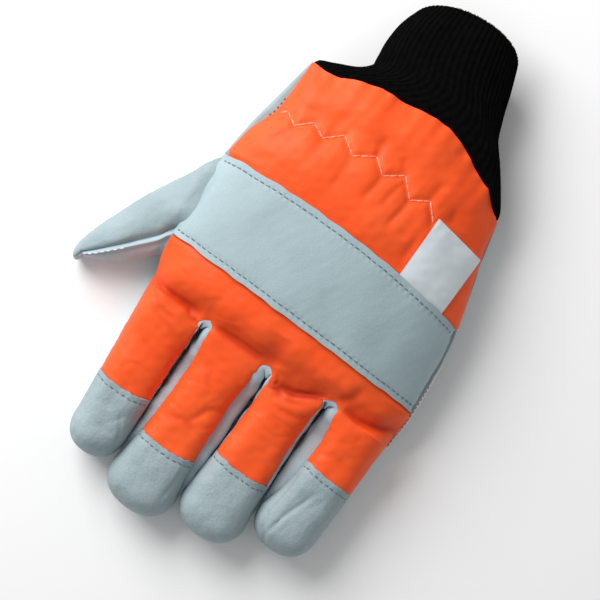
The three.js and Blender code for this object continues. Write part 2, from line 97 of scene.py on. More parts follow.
def distanceToLine(x, y, line):
    # distance to the nearest segment of a line, and the share of the line's length at that place
    line = np.asarray(line, float)
    lengths = np.hypot(*np.diff(line, axis=0).T)
    starts = np.concatenate([[0.0], np.cumsum(lengths)])
    best = np.full(np.shape(x), 1e9)
    place = np.zeros(np.shape(x))
    for i, length in enumerate(lengths):
        dx, dy = (line[i + 1] - line[i]) / length
        t = np.clip((x - line[i, 0]) * dx + (y - line[i, 1]) * dy, 0.0, length)
        d = np.hypot(x - line[i, 0] - t * dx, y - line[i, 1] - t * dy)
        nearer = d < best
        best = np.where(nearer, d, best)
        place = np.where(nearer, (starts[i] + t) / starts[-1], place)
    return best, place


def creased(x, y, creases):
    # each crease sinks by its depth on its line, as a bell curve of the distance, and fades at its ends
    total = np.zeros(np.shape(x))
    for crease in creases:
        d, place = distanceToLine(x, y, fromPhoto(crease["line"]))
        fade = 1 - np.abs(2 * place - 1) ** 4 * crease.get("fade", 0.8)
        total = total - crease["depth"] * fade * np.exp(-((d / crease["width"]) ** 2))
    return total


# shape of the hand and fingers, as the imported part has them

hand = {
    "length": 121.0,  # from the crotches to the wrist seam
    "height": 44.0,
    "knuckleHeight": 32.0,  # at the fingers' bases
    "thumbSeam": 26.0,  # height of the seam between back and palm, on the thumb's side
    "littleSeam": 18.0,  # and on the little finger's side
    "wristArch": 17.0,
    "wristSlant": 3.5,
    "knuckleFade": 16.0,  # the hand's section turns into the fingers' bases over this length
    "strapEase": 3.0,  # creases and waves grow to their full depth this far past the strap
    "swellEase": 13.0,  # and the padding to its full swell
    "swell": 2.2,
    "quiltReach": 5.0,  # the quilting line holds the swell down this far on both sides
    "skew": 0.2,
    "strapTop": 67.0,  # this and the next two are measured from the crotches
    "strapBottom": 25.5,
    "quiltLine": 102.0,
    "archReach": 23.0,  # the crotches' outline fades out over this length
    "strapSeat": 1.9,  # the back is drawn in this far at both sides of the strap
    "crotchGap": 2.8,
    "crotchArch": 2.6,
    "seamGap": 0.3,
    "press": 0.25,  # the palm's round would reach this share deeper, and the floor presses it flat
    "roundness": 2.4,  # power of the section's curve
    "fingerRoundness": 3.6,
}
# at, thumb side, little finger's side, top, seam
handTable = np.array([
    [0.0, 1.01, 0.69, 0.8, 0.9],
    [0.15, 1.05, 0.76, 0.9, 0.97],
    [0.3, 1.09, 0.84, 0.97, 1.0],
    [0.45, 1.11, 0.92, 1.0, 1.0],
    [0.6, 1.1, 0.965, 0.99, 1.0],
    [0.8, 1.07, 1.0, 0.93, 0.96],
    [0.9, 1.035, 1.005, 0.86, 0.8],
    [1.0, 1.0, 1.0, 0.76, 0.6],
])
# the wrist seam as the photograph shows it: right, down
wristLine = fromPhoto([
    (284, -136), (291, -138), (305, -138), (319, -141), (332, -148), (345, -152), (360, -157), (386, -159),
    (400, -162), (420, -165), (435, -165.5), (450, -162.5), (463, -159), (476, -152), (489, -146),
    (502, -141), (513, -136), (523, -127), (532, -119), (538, -112),
])

finger = {
    "names": ["index", "middle", "ring", "little"],
    "width": np.array([31.3, 33.0, 29.4, 31.3]),
    "length": np.array([80.5, 89.5, 80.0, 65.0]),
    "back": np.array([45.0, 55.5, 43.7, 22.3]),  # from the crotches to the cap's edge
    "lean": np.array([6.0, 2.6, 2.6, 0.6]),
    "taper": np.array([0.85, 1.04, 1.12, 0.98]),
    "thumbEnd": np.array([0.0, 0.0, 0.0, 5.0]),
    "littleEnd": np.array([0.0, 0.0, 5.0, 5.0]),
    "thumbFourchette": np.array([0.0, 1.0, 1.0, 1.0]),
    "littleFourchette": np.array([1.0, 1.0, 1.0, 0.0]),
    # the cap's edge is this much lower on the little finger's side, and sags this much in its middle
    "capSlope": np.array([-0.8, -0.8, -0.25, 0.55]),
    "capSag": np.array([2.0, 1.9, 1.5, 0.75]),
    "height": 26.0,
    "seamHeight": 12.5,
    "tip": 15.0,
    "fourchetteHeight": 13.0,
    # how far the orange stands back from a finger's side, on the thumb's and on the little finger's side,
    # and how far the fourchette there bulges: each gap shows one wide fourchette and one dark line
    "thumbBare": np.array([0.0, 3.6, 1.6, 5.4]),
    "littleBare": np.array([0.6, 3.9, 2.9, 0.0]),
    "thumbBulge": np.array([0.0, 4.3, 0.2, 6.4]),
    "littleBulge": np.array([0.2, 5.4, 1.2, 0.0]),
    "palmBare": 2.2,  # and how far the palm's leather stands back
    "closing": 4.0,  # power of the place along a finger at which its fourchette narrows
    "web": 11.0,  # the padding's edge stands this much higher at the crotches
    "webReach": 0.3,
    "blunt": 2.3,  # power of a fingertip's outline; 2 is a circle
}
fingerTable = np.array([[0.0, 0.0], [0.2, 0.45], [0.45, 0.8], [0.75, 1.0], [1.0, 1.0]])
knuckleWidth = finger["width"].sum() + 3 * hand["crotchGap"]
edges = np.concatenate([[0.0], np.cumsum(finger["width"][:-1] + hand["crotchGap"])])
finger["centre"] = edges + finger["width"] / 2 - knuckleWidth / 2


def arc(across, power=hand["roundness"]):
    # 1 in the middle of a section, 0 at its seams: root of 1 minus the power of the place across
    return np.sqrt(np.maximum(0.0, 1 - np.abs(across) ** power))


def sectionHeight(side, across, seam, top, wall, pad, power=hand["roundness"]):
    # over the back, a rounded rise from the seam; under the palm, a rounded fall that the floor presses flat
    if side == "back":
        low = seam + hand["seamGap"] / 2
        return low + (top - pad - low) * arc(across, power)
    high = seam - hand["seamGap"] / 2
    return np.maximum(wall, high - (high - wall) * (1 + hand["press"]) * arc(across))


def fingerPoint(f, across, along, side, wall=0.0, pad=0.0):
    # along 0 to 1 runs down the straight part, 1 to 2 over the tip, where a square becomes a disc with blunt
    # corners; the width tapers and leans, and the seams part by the fourchette's height
    straight = np.minimum(along, 1.0)
    tip = np.clip(along - 1.0, 0.0, 1.0)
    seamSide = (across + 1) / 2
    half = finger["width"][f] / 2 * mix(1.0, finger["taper"][f], straight) - wall
    top = mix(hand["knuckleHeight"], finger["height"], readTable(fingerTable, 1, straight))
    fourchette = mix(finger["thumbFourchette"][f], finger["littleFourchette"][f], seamSide)
    closing = (1 - straight ** finger["closing"]) * (1 - smooth(tip, 0.0, 0.6))
    split = fourchette * closing * finger["fourchetteHeight"] / 2
    web = finger["web"] * (1 - smooth(straight, 0.0, finger["webReach"])) * fourchette
    seam = finger["seamHeight"] + (split + web if side == "back" else -split)
    x = across * np.sqrt(1 - tip ** 2 / 2)
    reach = tip * np.sqrt(1 - across ** 2 / 2)
    radius = np.hypot(x, reach)
    corner = (np.abs(x) ** finger["blunt"] + reach ** finger["blunt"]) ** (1 / finger["blunt"])
    grow = mix(1.0, radius / np.maximum(corner, 1e-6), smooth(radius, 0.0, 0.5) * (tip > 0))
    start = mix(finger["thumbEnd"][f], finger["littleEnd"][f], seamSide)
    y = mix(start, finger["tip"] - finger["length"][f], straight) - reach * grow * (finger["tip"] - wall)
    z = sectionHeight(side, radius, seam, top, wall, pad, hand["fingerRoundness"])
    if side == "back":
        bare = np.where(across < 0, finger["thumbBare"][f], finger["littleBare"][f])
    else:
        sewn = np.where(across < 0, finger["thumbFourchette"][f], finger["littleFourchette"][f])
        bare = finger["palmBare"] * sewn
    half = half - bare * closing * mix(0.6, 1.0, smooth(straight, 0.0, 0.3))
    return np.stack([finger["centre"][f] + finger["lean"][f] * straight + half * x * grow, y, z], axis=-1)


def pastStrap(height, ease=hand["strapEase"]):
    # 0 under the strap, 1 a little way past its edges: a smooth step of the distance past the nearer edge
    past = np.maximum(np.maximum(height - hand["strapTop"], hand["strapBottom"] - height), 0.0)
    return smooth(past, 0.0, ease)


def swell(height):
    # padding stands up between the strap, the quilting line and the wrist seam: its height times the share
    # that each of them leaves free, a bell curve at the quilting line
    nearQuilt = np.exp(-(((height - hand["quiltLine"]) / hand["quiltReach"]) ** 2))
    nearWrist = smooth(height, hand["length"] - 10, hand["length"])
    nearKnuckle = 1 - smooth(height, 0.0, hand["strapBottom"])
    free = (1 - 0.8 * nearQuilt) * (1 - nearWrist) * (1 - 0.5 * nearKnuckle)
    return hand["swell"] * pastStrap(height, hand["swellEase"]) * free


def makeColumns(perFinger, perGap):
    # places across the hand: a run for each finger, partly a cosine so that places are closer at the sides,
    # and an arch of extra places over each crotch
    crowding = 0.35
    rows = []
    for f in range(4):
        across = -np.cos(np.linspace(0, np.pi, perFinger)) * crowding
        across = across + np.linspace(-1, 1, perFinger) * (1 - crowding)
        share = 0.5 + (finger["centre"][f] + across * finger["width"][f] / 2) / knuckleWidth
        rows += [(f, a, f, a, 0.0, s) for a, s in zip(across, share)]
        if f < 3 and perGap:
            first = rows[-1][5]
            last = 0.5 + (finger["centre"][f + 1] - finger["width"][f + 1] / 2) / knuckleWidth
            for w in np.linspace(0, 1, perGap + 2)[1:-1]:
                rows.append((f, 1.0, f + 1, -1.0, w, mix(first, last, w)))
    table = np.array(rows)
    return {
        "f": table[:, 0].astype(int), "across": table[:, 1], "g": table[:, 2].astype(int),
        "other": table[:, 3], "weight": table[:, 4], "share": table[:, 5],
    }


def oneColumn(f, across, share, count=1):
    # columns that all stand at one place across the hand
    same = np.zeros((1, count))
    number = same.astype(int) + f
    return {"f": number, "across": same + across, "g": number, "other": same + across, "weight": same,
            "share": same + share}


def handPoint(columns, height, side, wall=0.0, pad=0.0):
    # a rounded section at each height, bowed at the wrist, turning into the fingers' bases at the crotches
    share = columns["share"]
    at = 1 - height / hand["length"]
    across = 2 * share - 1
    thumbX = -knuckleWidth / 2 * readTable(handTable, 1, at)
    littleX = knuckleWidth / 2 * readTable(handTable, 2, at)
    seam = mix(hand["thumbSeam"], hand["littleSeam"], share) * readTable(handTable, 4, at)
    top = hand["height"] * readTable(handTable, 3, at)
    back = side == "back"
    tuck = hand["strapSeat"] * (1 - pastStrap(height)) if back else 0.0
    x = (thumbX + littleX) / 2 + ((littleX - thumbX) / 2 - tuck - wall) * across
    # the back is highest towards the thumb, so that it falls away longer to the little finger's side
    skewed = across + hand["skew"] * (1 - across ** 2) if back else across
    raised = swell(height) * arc(across) if back else 0.0
    z = sectionHeight(side, skewed, seam, top, wall, pad) + raised
    first = fingerPoint(columns["f"], columns["across"], 0.0 * share, side, wall, pad)
    second = fingerPoint(columns["g"], columns["other"], 0.0 * share, side, wall, pad)
    knuckle = mix(first, second, columns["weight"][..., None])
    arch = hand["crotchArch"] * np.sin(np.pi * columns["weight"])
    bow = (hand["wristArch"] if back else hand["wristArch"] / 3) * (1 - across ** 2)
    bow = bow - hand["wristSlant"] * across
    blend = smooth(1 - height / hand["knuckleFade"]) ** 1.3
    lower = smooth(1 - height / hand["archReach"])
    y = height + bow * (1 - at) ** 2 + (knuckle[..., 1] + arch) * lower
    if back:
        seamX = (thumbX + littleX) / 2 + (littleX - thumbX) / 2 * across
        seen = np.interp(seamX, wristLine[:, 0], wristLine[:, 1])
        y = y + (seen - hand["length"] - bow) * smooth(1 - at, 0.55, 1.0)
    return np.stack([mix(x, knuckle[..., 0], blend), y, mix(z, knuckle[..., 2], blend)], axis=-1)


# meshes

def gridFaces(rows, cols, wrap=False, start=0):
    # four corners for every cell of a grid of points numbered row by row
    r, c = np.meshgrid(np.arange(rows - 1), np.arange(cols if wrap else cols - 1), indexing="ij")
    d = (c + 1) % cols
    quads = np.stack([r * cols + c, r * cols + d, (r + 1) * cols + d, (r + 1) * cols + c], axis=-1)
    return quads.reshape(-1, 4) + start


def vertexNormals(points, quads):
    # the mean of the normals of the faces around each point
    points = points.reshape(-1, 3)
    a, b, c, d = (points[quads[:, i]] for i in range(4))
    faceNormals = np.cross(c - a, d - b)
    normals = np.zeros_like(points)
    for i in range(4):
        np.add.at(normals, quads[:, i], faceNormals)
    return normals / np.maximum(np.linalg.norm(normals, axis=1, keepdims=True), 1e-9)


def closeWall(outer, inner, quads):
    # the two sheets, the inner one turned round, and a strip between them along every open edge
    count = len(outer)
    pairs = np.concatenate([quads[:, [i, (i + 1) % 4]] for i in range(4)])
    forward = pairs[:, 0] * count + pairs[:, 1]
    backward = pairs[:, 1] * count + pairs[:, 0]
    rim = pairs[~np.isin(forward, backward)]
    strip = np.column_stack([rim[:, 1], rim[:, 0], rim[:, 0] + count, rim[:, 1] + count])
    return np.concatenate([outer, inner]), np.concatenate([quads, quads[:, ::-1] + count, strip])


def faceOutwards(points, quads):
    # the signed volume under all faces is positive when they face outwards
    a, b, c, d = (points[quads[:, i]] for i in range(4))
    volume = np.einsum("ij,ij->i", a, np.cross(b, c)).sum() + np.einsum("ij,ij->i", a, np.cross(c, d)).sum()
    return quads if volume > 0 else quads[:, ::-1]


def facesInwards(points, quads):
    # the signed volume under the faces' first three corners is negative when they face inwards
    a, b, c = (points[quads[:, i]] for i in range(3))
    return np.einsum("ij,ij->i", a, np.cross(b, c)).sum() < 0


def addMesh(name, points, faces, material, uv=None, sharp=40.0):
    # a mesh object in metres at the origin, shaded smooth, with edges sharper than the angle kept
    mesh = bpy.data.meshes.new(name)
    place = (np.asarray(points) + placing["shift"]) * placing["toMetres"]
    mesh.from_pydata(place, [], faces if isinstance(faces, list) else faces.tolist())
    if uv is not None:
        layer = mesh.uv_layers.new(name="surface")
        corners = np.zeros(len(mesh.loops), np.int32)
        mesh.loops.foreach_get("vertex_index", corners)
        layer.data.foreach_set("uv", np.asarray(uv, np.float32)[corners].ravel())
    mesh.shade_smooth()
    mesh.set_sharp_from_angle(angle=np.radians(sharp))
    mesh.materials.append(material)
    piece = bpy.data.objects.new(name, mesh)
    bpy.context.scene.collection.objects.link(piece)
    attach(piece, "root")
    return piece


def addWall(name, outer, inner, quads, material, nodes, sharp=40.0):
    # two sheets closed to one solid piece, in the place of the imported part's nodes
    points, faces = closeWall(outer.reshape(-1, 3), inner.reshape(-1, 3), quads)
    piece = addMesh(name, points, faceOutwards(points, faces), material, sharp=sharp)
    if nodes:
        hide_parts(*nodes)
    return piece


def sampleGrid(grid, row, col):
    # the point of a grid at a broken row and column, straight between its four neighbours
    r = np.clip(np.floor(row).astype(int), 0, grid.shape[0] - 2)
    c = np.clip(np.floor(col).astype(int), 0, grid.shape[1] - 2)
    a = (row - r)[:, None]
    b = (col - c)[:, None]
    low = mix(grid[r, c], grid[r, c + 1], b)
    high = mix(grid[r + 1, c], grid[r + 1, c + 1], b)
    return mix(low, high, a)


def rowOn(grid, normals, row, col):
    # places on a grid of points, and the surface's normals there
    return sampleGrid(grid, row, col), sampleGrid(normals.reshape(grid.shape), row, col)


def unit(v):
    # each vector over its own length
    return v / np.maximum(np.linalg.norm(v, axis=-1, keepdims=True), 1e-9)


def spaced(path, step):
    # places at even steps along a path, as shares of its number of points
    lengths = np.linalg.norm(np.diff(path, axis=0), axis=1)
    run = np.concatenate([[0.0], np.cumsum(lengths)])
    count = max(int(run[-1] / step), 1)
    return np.interp((np.arange(count) + 0.5) * run[-1] / count, run, np.arange(len(path)))


def atPlaces(path, places):
    # points of a path at broken places, straight between its two nearest points
    i = np.clip(np.floor(places).astype(int), 0, len(path) - 2)
    return mix(path[i], path[i + 1], (places - i)[:, None])


def stitches(path, up, look, sink=0.35):
    # a row of short rounded threads: rings round the path's direction, thinner and lower at both ends
    places = spaced(path, look["pitch"])
    middle = atPlaces(path, places)
    tangent = unit(atPlaces(path, places + 0.3) - atPlaces(path, places - 0.3))
    normal = unit(atPlaces(up, places))
    side = unit(np.cross(tangent, normal))
    normal = np.cross(side, tangent)
    if "swing" in look:
        turn = look["swing"] * np.where(np.arange(len(places)) % 2, 1.0, -1.0)[:, None]
        tangent = unit(tangent + side * turn)
        side = np.cross(tangent, normal)
    rng = np.random.default_rng(look["seed"])
    length = look["length"] * rng.uniform(0.85, 1.1, (len(places), 1, 1, 1))
    s = np.array([-1.0, -0.7, 0.0, 0.7, 1.0])[None, :, None, None]
    width = np.array([0.35, 0.85, 1.0, 0.85, 0.35])[None, :, None, None] * look["radius"]
    rings, around, flatness = 5, 6, 0.8
    angle = (np.arange(around) * 2 * np.pi / around)[None, None, :, None]
    t, n, b = (v[:, None, None, :] for v in (tangent, normal, side))
    rise = look["radius"] * (1 - 2 * sink) - s ** 2 * 0.5 * look["radius"]
    ring = (b * np.cos(angle) + n * np.sin(angle) * flatness) * width
    points = middle[:, None, None, :] + t * s * length / 2 + n * rise + ring
    starts = np.arange(len(places)) * rings * around
    tube = gridFaces(rings, around, wrap=True)
    quads = (tube[None] + starts[:, None, None]).reshape(-1, 4)
    firstCap = np.arange(around - 1, -1, -1) + starts[:, None]
    lastCap = np.arange((rings - 1) * around, rings * around) + starts[:, None]
    return points.reshape(-1, 3), quads, np.concatenate([firstCap, lastCap])


def addStitches(name, rows, material, look):
    # all the rows of one thread as one mesh
    points, faces, start = [], [], 0
    for path, up in rows:
        p, quads, caps = stitches(path, up, look)
        turned = facesInwards(p, quads)
        faces += ((quads[:, ::-1] if turned else quads) + start).tolist()
        faces += ((caps[:, ::-1] if turned else caps) + start).tolist()
        points.append(p)
        start += len(p)
    piece = addMesh(name, np.concatenate(points), faces, material, sharp=180.0)
    return piece


# materials

def linear(code):
    # sRGB hex to linear red, green, blue
    c = np.array([int(code[i:i + 2], 16) / 255 for i in (1, 3, 5)])
    return (*np.where(c <= 0.04045, c / 12.92, ((c + 0.055) / 1.055) ** 2.4), 1.0)


def addNode(material, kind, inputs=None, **settings):
    # one node with its settings; an input is linked if it is given a socket, and set if it is given a value
    tree = material.node_tree
    node = tree.nodes.new(kind)
    for name, value in settings.items():
        setattr(node, name, value)
    for key, value in (inputs or {}).items():
        if isinstance(value, bpy.types.NodeSocket):
            tree.links.new(value, node.inputs[key])
        else:
            node.inputs[key].default_value = value
    return node


def newMaterial(name, inputs):
    # a material, its main shader with these values set on it, and its object coordinates
    material = bpy.data.materials.new(name)
    material.use_nodes = True
    shader = material.node_tree.nodes["Principled BSDF"]
    for key, value in inputs.items():
        shader.inputs[key].default_value = value
    return material, shader, addNode(material, "ShaderNodeTexCoord").outputs["Object"]


def linked(material, shader, colour, bump=None):
    # the colour and, if there is one, the bump go into the main shader
    material.node_tree.links.new(colour, shader.inputs["Base Color"])
    if bump is not None:
        material.node_tree.links.new(bump.outputs[0], shader.inputs["Normal"])
    return material


def toned(material, coords, scale, colours, detail=3.0):
    # a soft noise that wanders between two colours
    noise = addNode(material, "ShaderNodeTexNoise", {"Vector": coords, "Scale": scale, "Detail": detail})
    ramp = addNode(material, "ShaderNodeValToRGB", {"Fac": noise.outputs["Fac"]})
    ramp.color_ramp.elements[0].position = 0.3
    ramp.color_ramp.elements[1].position = 0.7
    ramp.color_ramp.elements[0].color = linear(colours[0])
    ramp.color_ramp.elements[1].color = linear(colours[1])
    return ramp.outputs["Color"]


def waveScale(pitch):
    # the scale at which a wave texture's bands are this many millimetres apart: at scale 1 its waves turn
    # 20 radians a metre
    return 2 * np.pi * 1000 / pitch / 20


def polyesterOxford():
    # fluorescent polyester oxford, woven and coated: even bright orange, a soft satin look, faint threads,
    # and painted shade in its folds: a darker red-orange the deeper the fold
    look = {
        "colours": ("#fb5520", "#ff622c"),
        "paintedFoldShadeColour": "#b92b08",
        "threadPitch": 1.3,
        "roughness": 0.48,
    }
    material, shader, coords = newMaterial("fluorescentPolyesterOxford", {
        "Roughness": look["roughness"], "Specular IOR Level": 0.2})
    even = toned(material, coords, 30.0, look["colours"])
    # painted shade: the cloth's colour is mixed towards a dark red-orange by how deep each point lies in a
    # fold
    fold = addNode(material, "ShaderNodeAttribute", attribute_name="paintedFoldShade")
    # 0 is the factor of the mix, 6 and 7 its two colours, and output 2 the mixed colour
    mixed = addNode(material, "ShaderNodeMix", {
        0: fold.outputs["Fac"], 6: even, 7: linear(look["paintedFoldShadeColour"])}, data_type="RGBA")
    # threads are 0.4 mm apart; drawn coarser, at 1.3 mm, so that they show
    bumps = []
    scale = waveScale(look["threadPitch"])
    for axis in "XY":
        wave = addNode(material, "ShaderNodeTexWave", {
            "Vector": coords, "Scale": scale, "Distortion": 0.6}, bands_direction=axis)
        bumps.append(wave.outputs["Fac"])
    weave = addNode(material, "ShaderNodeMath", {0: bumps[0], 1: bumps[1]}, operation="MULTIPLY")
    wrinkle = addNode(material, "ShaderNodeTexNoise", {
        "Vector": coords, "Scale": 160.0, "Detail": 4.0})
    fine = addNode(material, "ShaderNodeBump", {
        "Height": weave.outputs[0], "Strength": 0.08, "Distance": 0.0002})
    bump = addNode(material, "ShaderNodeBump", {
        "Height": wrinkle.outputs["Fac"], "Strength": 0.14, "Distance": 0.0008, "Normal": fine.outputs[0]})
    return linked(material, shader, mixed.outputs[2], bump)


def grainLeather(name, colours, seed, relief):
    # drum-dyed cowhide with its grain left on: matt, cloudy patches, and fine pebbled pores standing out as
    # much as the relief says
    look = {"grain": 1.1, "roughness": 0.62}  # the pores are this many millimetres apart
    material, shader, coords = newMaterial(name, {
        "Roughness": look["roughness"], "Specular IOR Level": 0.35})
    moved = addNode(material, "ShaderNodeMapping", {"Vector": coords, "Location": (seed * 0.1, 0.0, 0.0)})
    base = toned(material, moved.outputs[0], 45.0, colours, detail=5.0)
    pores = addNode(material, "ShaderNodeTexVoronoi", {
        "Vector": moved.outputs[0], "Scale": 1000 / look["grain"]})
    cloud = addNode(material, "ShaderNodeTexNoise", {
        "Vector": moved.outputs[0], "Scale": 620.0, "Detail": 5.0})
    grain = addNode(material, "ShaderNodeMath", {0: pores.outputs["Distance"], 1: cloud.outputs["Fac"]})
    speck = addNode(material, "ShaderNodeMapRange", {
        "Value": grain.outputs[0], "From Min": 0.5, "From Max": 1.3, "To Min": 1 - relief * 0.2,
        "To Max": 1 + relief * 0.13})
    colour = addNode(material, "ShaderNodeVectorMath", {0: base, 1: speck.outputs[0]}, operation="MULTIPLY")
    bump = addNode(material, "ShaderNodeBump", {
        "Height": grain.outputs[0], "Strength": relief, "Distance": 0.0004})
    return linked(material, shader, colour.outputs[0], bump)


def ribKnit():
    # elastic rib knit of black acrylic yarn: almost no gloss, a faint fuzz, small loops along the ribs
    material, shader, coords = newMaterial("blackAcrylicRibKnit", {
        "Roughness": 0.95, "Specular IOR Level": 0.04})
    surface = addNode(material, "ShaderNodeUVMap", uv_map="surface").outputs[0]
    base = toned(material, coords, 400.0, ("#050505", "#0a0a0b"))
    # the piece's own surface places are whole ribs around and 38 steps along, which gives sixty loops a rib
    loops = addNode(material, "ShaderNodeTexWave", {
        "Vector": surface, "Scale": 0.5, "Distortion": 1.5, "Detail": 2.0, "Detail Scale": 2.0},
        bands_direction="Y")
    fuzz = addNode(material, "ShaderNodeTexNoise", {"Vector": coords, "Scale": 900.0, "Detail": 4.0})
    both = addNode(material, "ShaderNodeMath", {0: loops.outputs["Fac"], 1: fuzz.outputs["Fac"]})
    bump = addNode(material, "ShaderNodeBump", {
        "Height": both.outputs[0], "Strength": 0.5, "Distance": 0.0005})
    return linked(material, shader, base, bump)


def sewingThread(name, colours):
    # twisted polyester sewing thread: slightly glossy, striped by its twist
    material, shader, coords = newMaterial(name, {"Roughness": 0.45, "Specular IOR Level": 0.4})
    twist = addNode(material, "ShaderNodeTexWave", {
        "Vector": coords, "Scale": 90.0, "Distortion": 1.0}, bands_direction="DIAGONAL")
    ramp = addNode(material, "ShaderNodeValToRGB", {"Fac": twist.outputs["Fac"]})
    ramp.color_ramp.elements[0].color = linear(colours[0])
    ramp.color_ramp.elements[1].color = linear(colours[1])
    return linked(material, shader, ramp.outputs["Color"])


def satinLabel():
    # woven polyester satin tape: pale grey, smooth along its fine ribs, a little shine
    material, shader, coords = newMaterial("wovenSatinTape", {
        "Roughness": 0.5, "Specular IOR Level": 0.4, "Sheen Weight": 0.1})
    base = toned(material, coords, 60.0, ("#d6e0e6", "#e1e9ee"))
    ribs = addNode(material, "ShaderNodeTexWave", {
        "Vector": coords, "Scale": waveScale(0.9), "Distortion": 0.4}, bands_direction="Y")
    bump = addNode(material, "ShaderNodeBump", {
        "Height": ribs.outputs["Fac"], "Strength": 0.06, "Distance": 0.0002})
    return linked(material, shader, base, bump)


def studioPaper():
    # matt white background paper with the least trace of fibre
    material, shader, coords = newMaterial("mattPaper", {"Roughness": 0.9, "Specular IOR Level": 0.1})
    return linked(material, shader, toned(material, coords, 3.0, ("#fbfbfb", "#fdfdfd")))


orange = polyesterOxford()
strapLeather = grainLeather("greyGrainLeatherStrap", ("#a2b6bb", "#a8bcc1"), 1, 0.11)
capLeather = grainLeather("greyGrainLeatherCaps", ("#94a5a9", "#9fb0b4"), 2, 0.3)
palmLeather = grainLeather("greyGrainLeatherPalm", ("#92a4a9", "#9eb0b4"), 3, 0.2)
edgeLeather = grainLeather("greySplitLeatherEdge", ("#a9bdc6", "#b8cad2"), 4, 0.15)
weltLeather = grainLeather("palePinkGrainLeatherWelt", ("#e2d6d5", "#efe6e5"), 5, 0.15)
knit = ribKnit()
greyThread = sewingThread("slateSewingThread", ("#5d6d78", "#7d8d97"))
paleThread = sewingThread("paleSewingThread", ("#d8e0e2", "#eef2f3"))
pinkThread = sewingThread("palePinkSewingThread", ("#ff8a68", "#ffa386"))
redThread = sewingThread("darkRedSewingThread", ("#8c3a3a", "#a9564f"))
rimThread = sewingThread("oliveOverlockThread", ("#6a6b58", "#8f8f7a"))
print("materials ready")

# padded back, from the wrist seam to under the caps

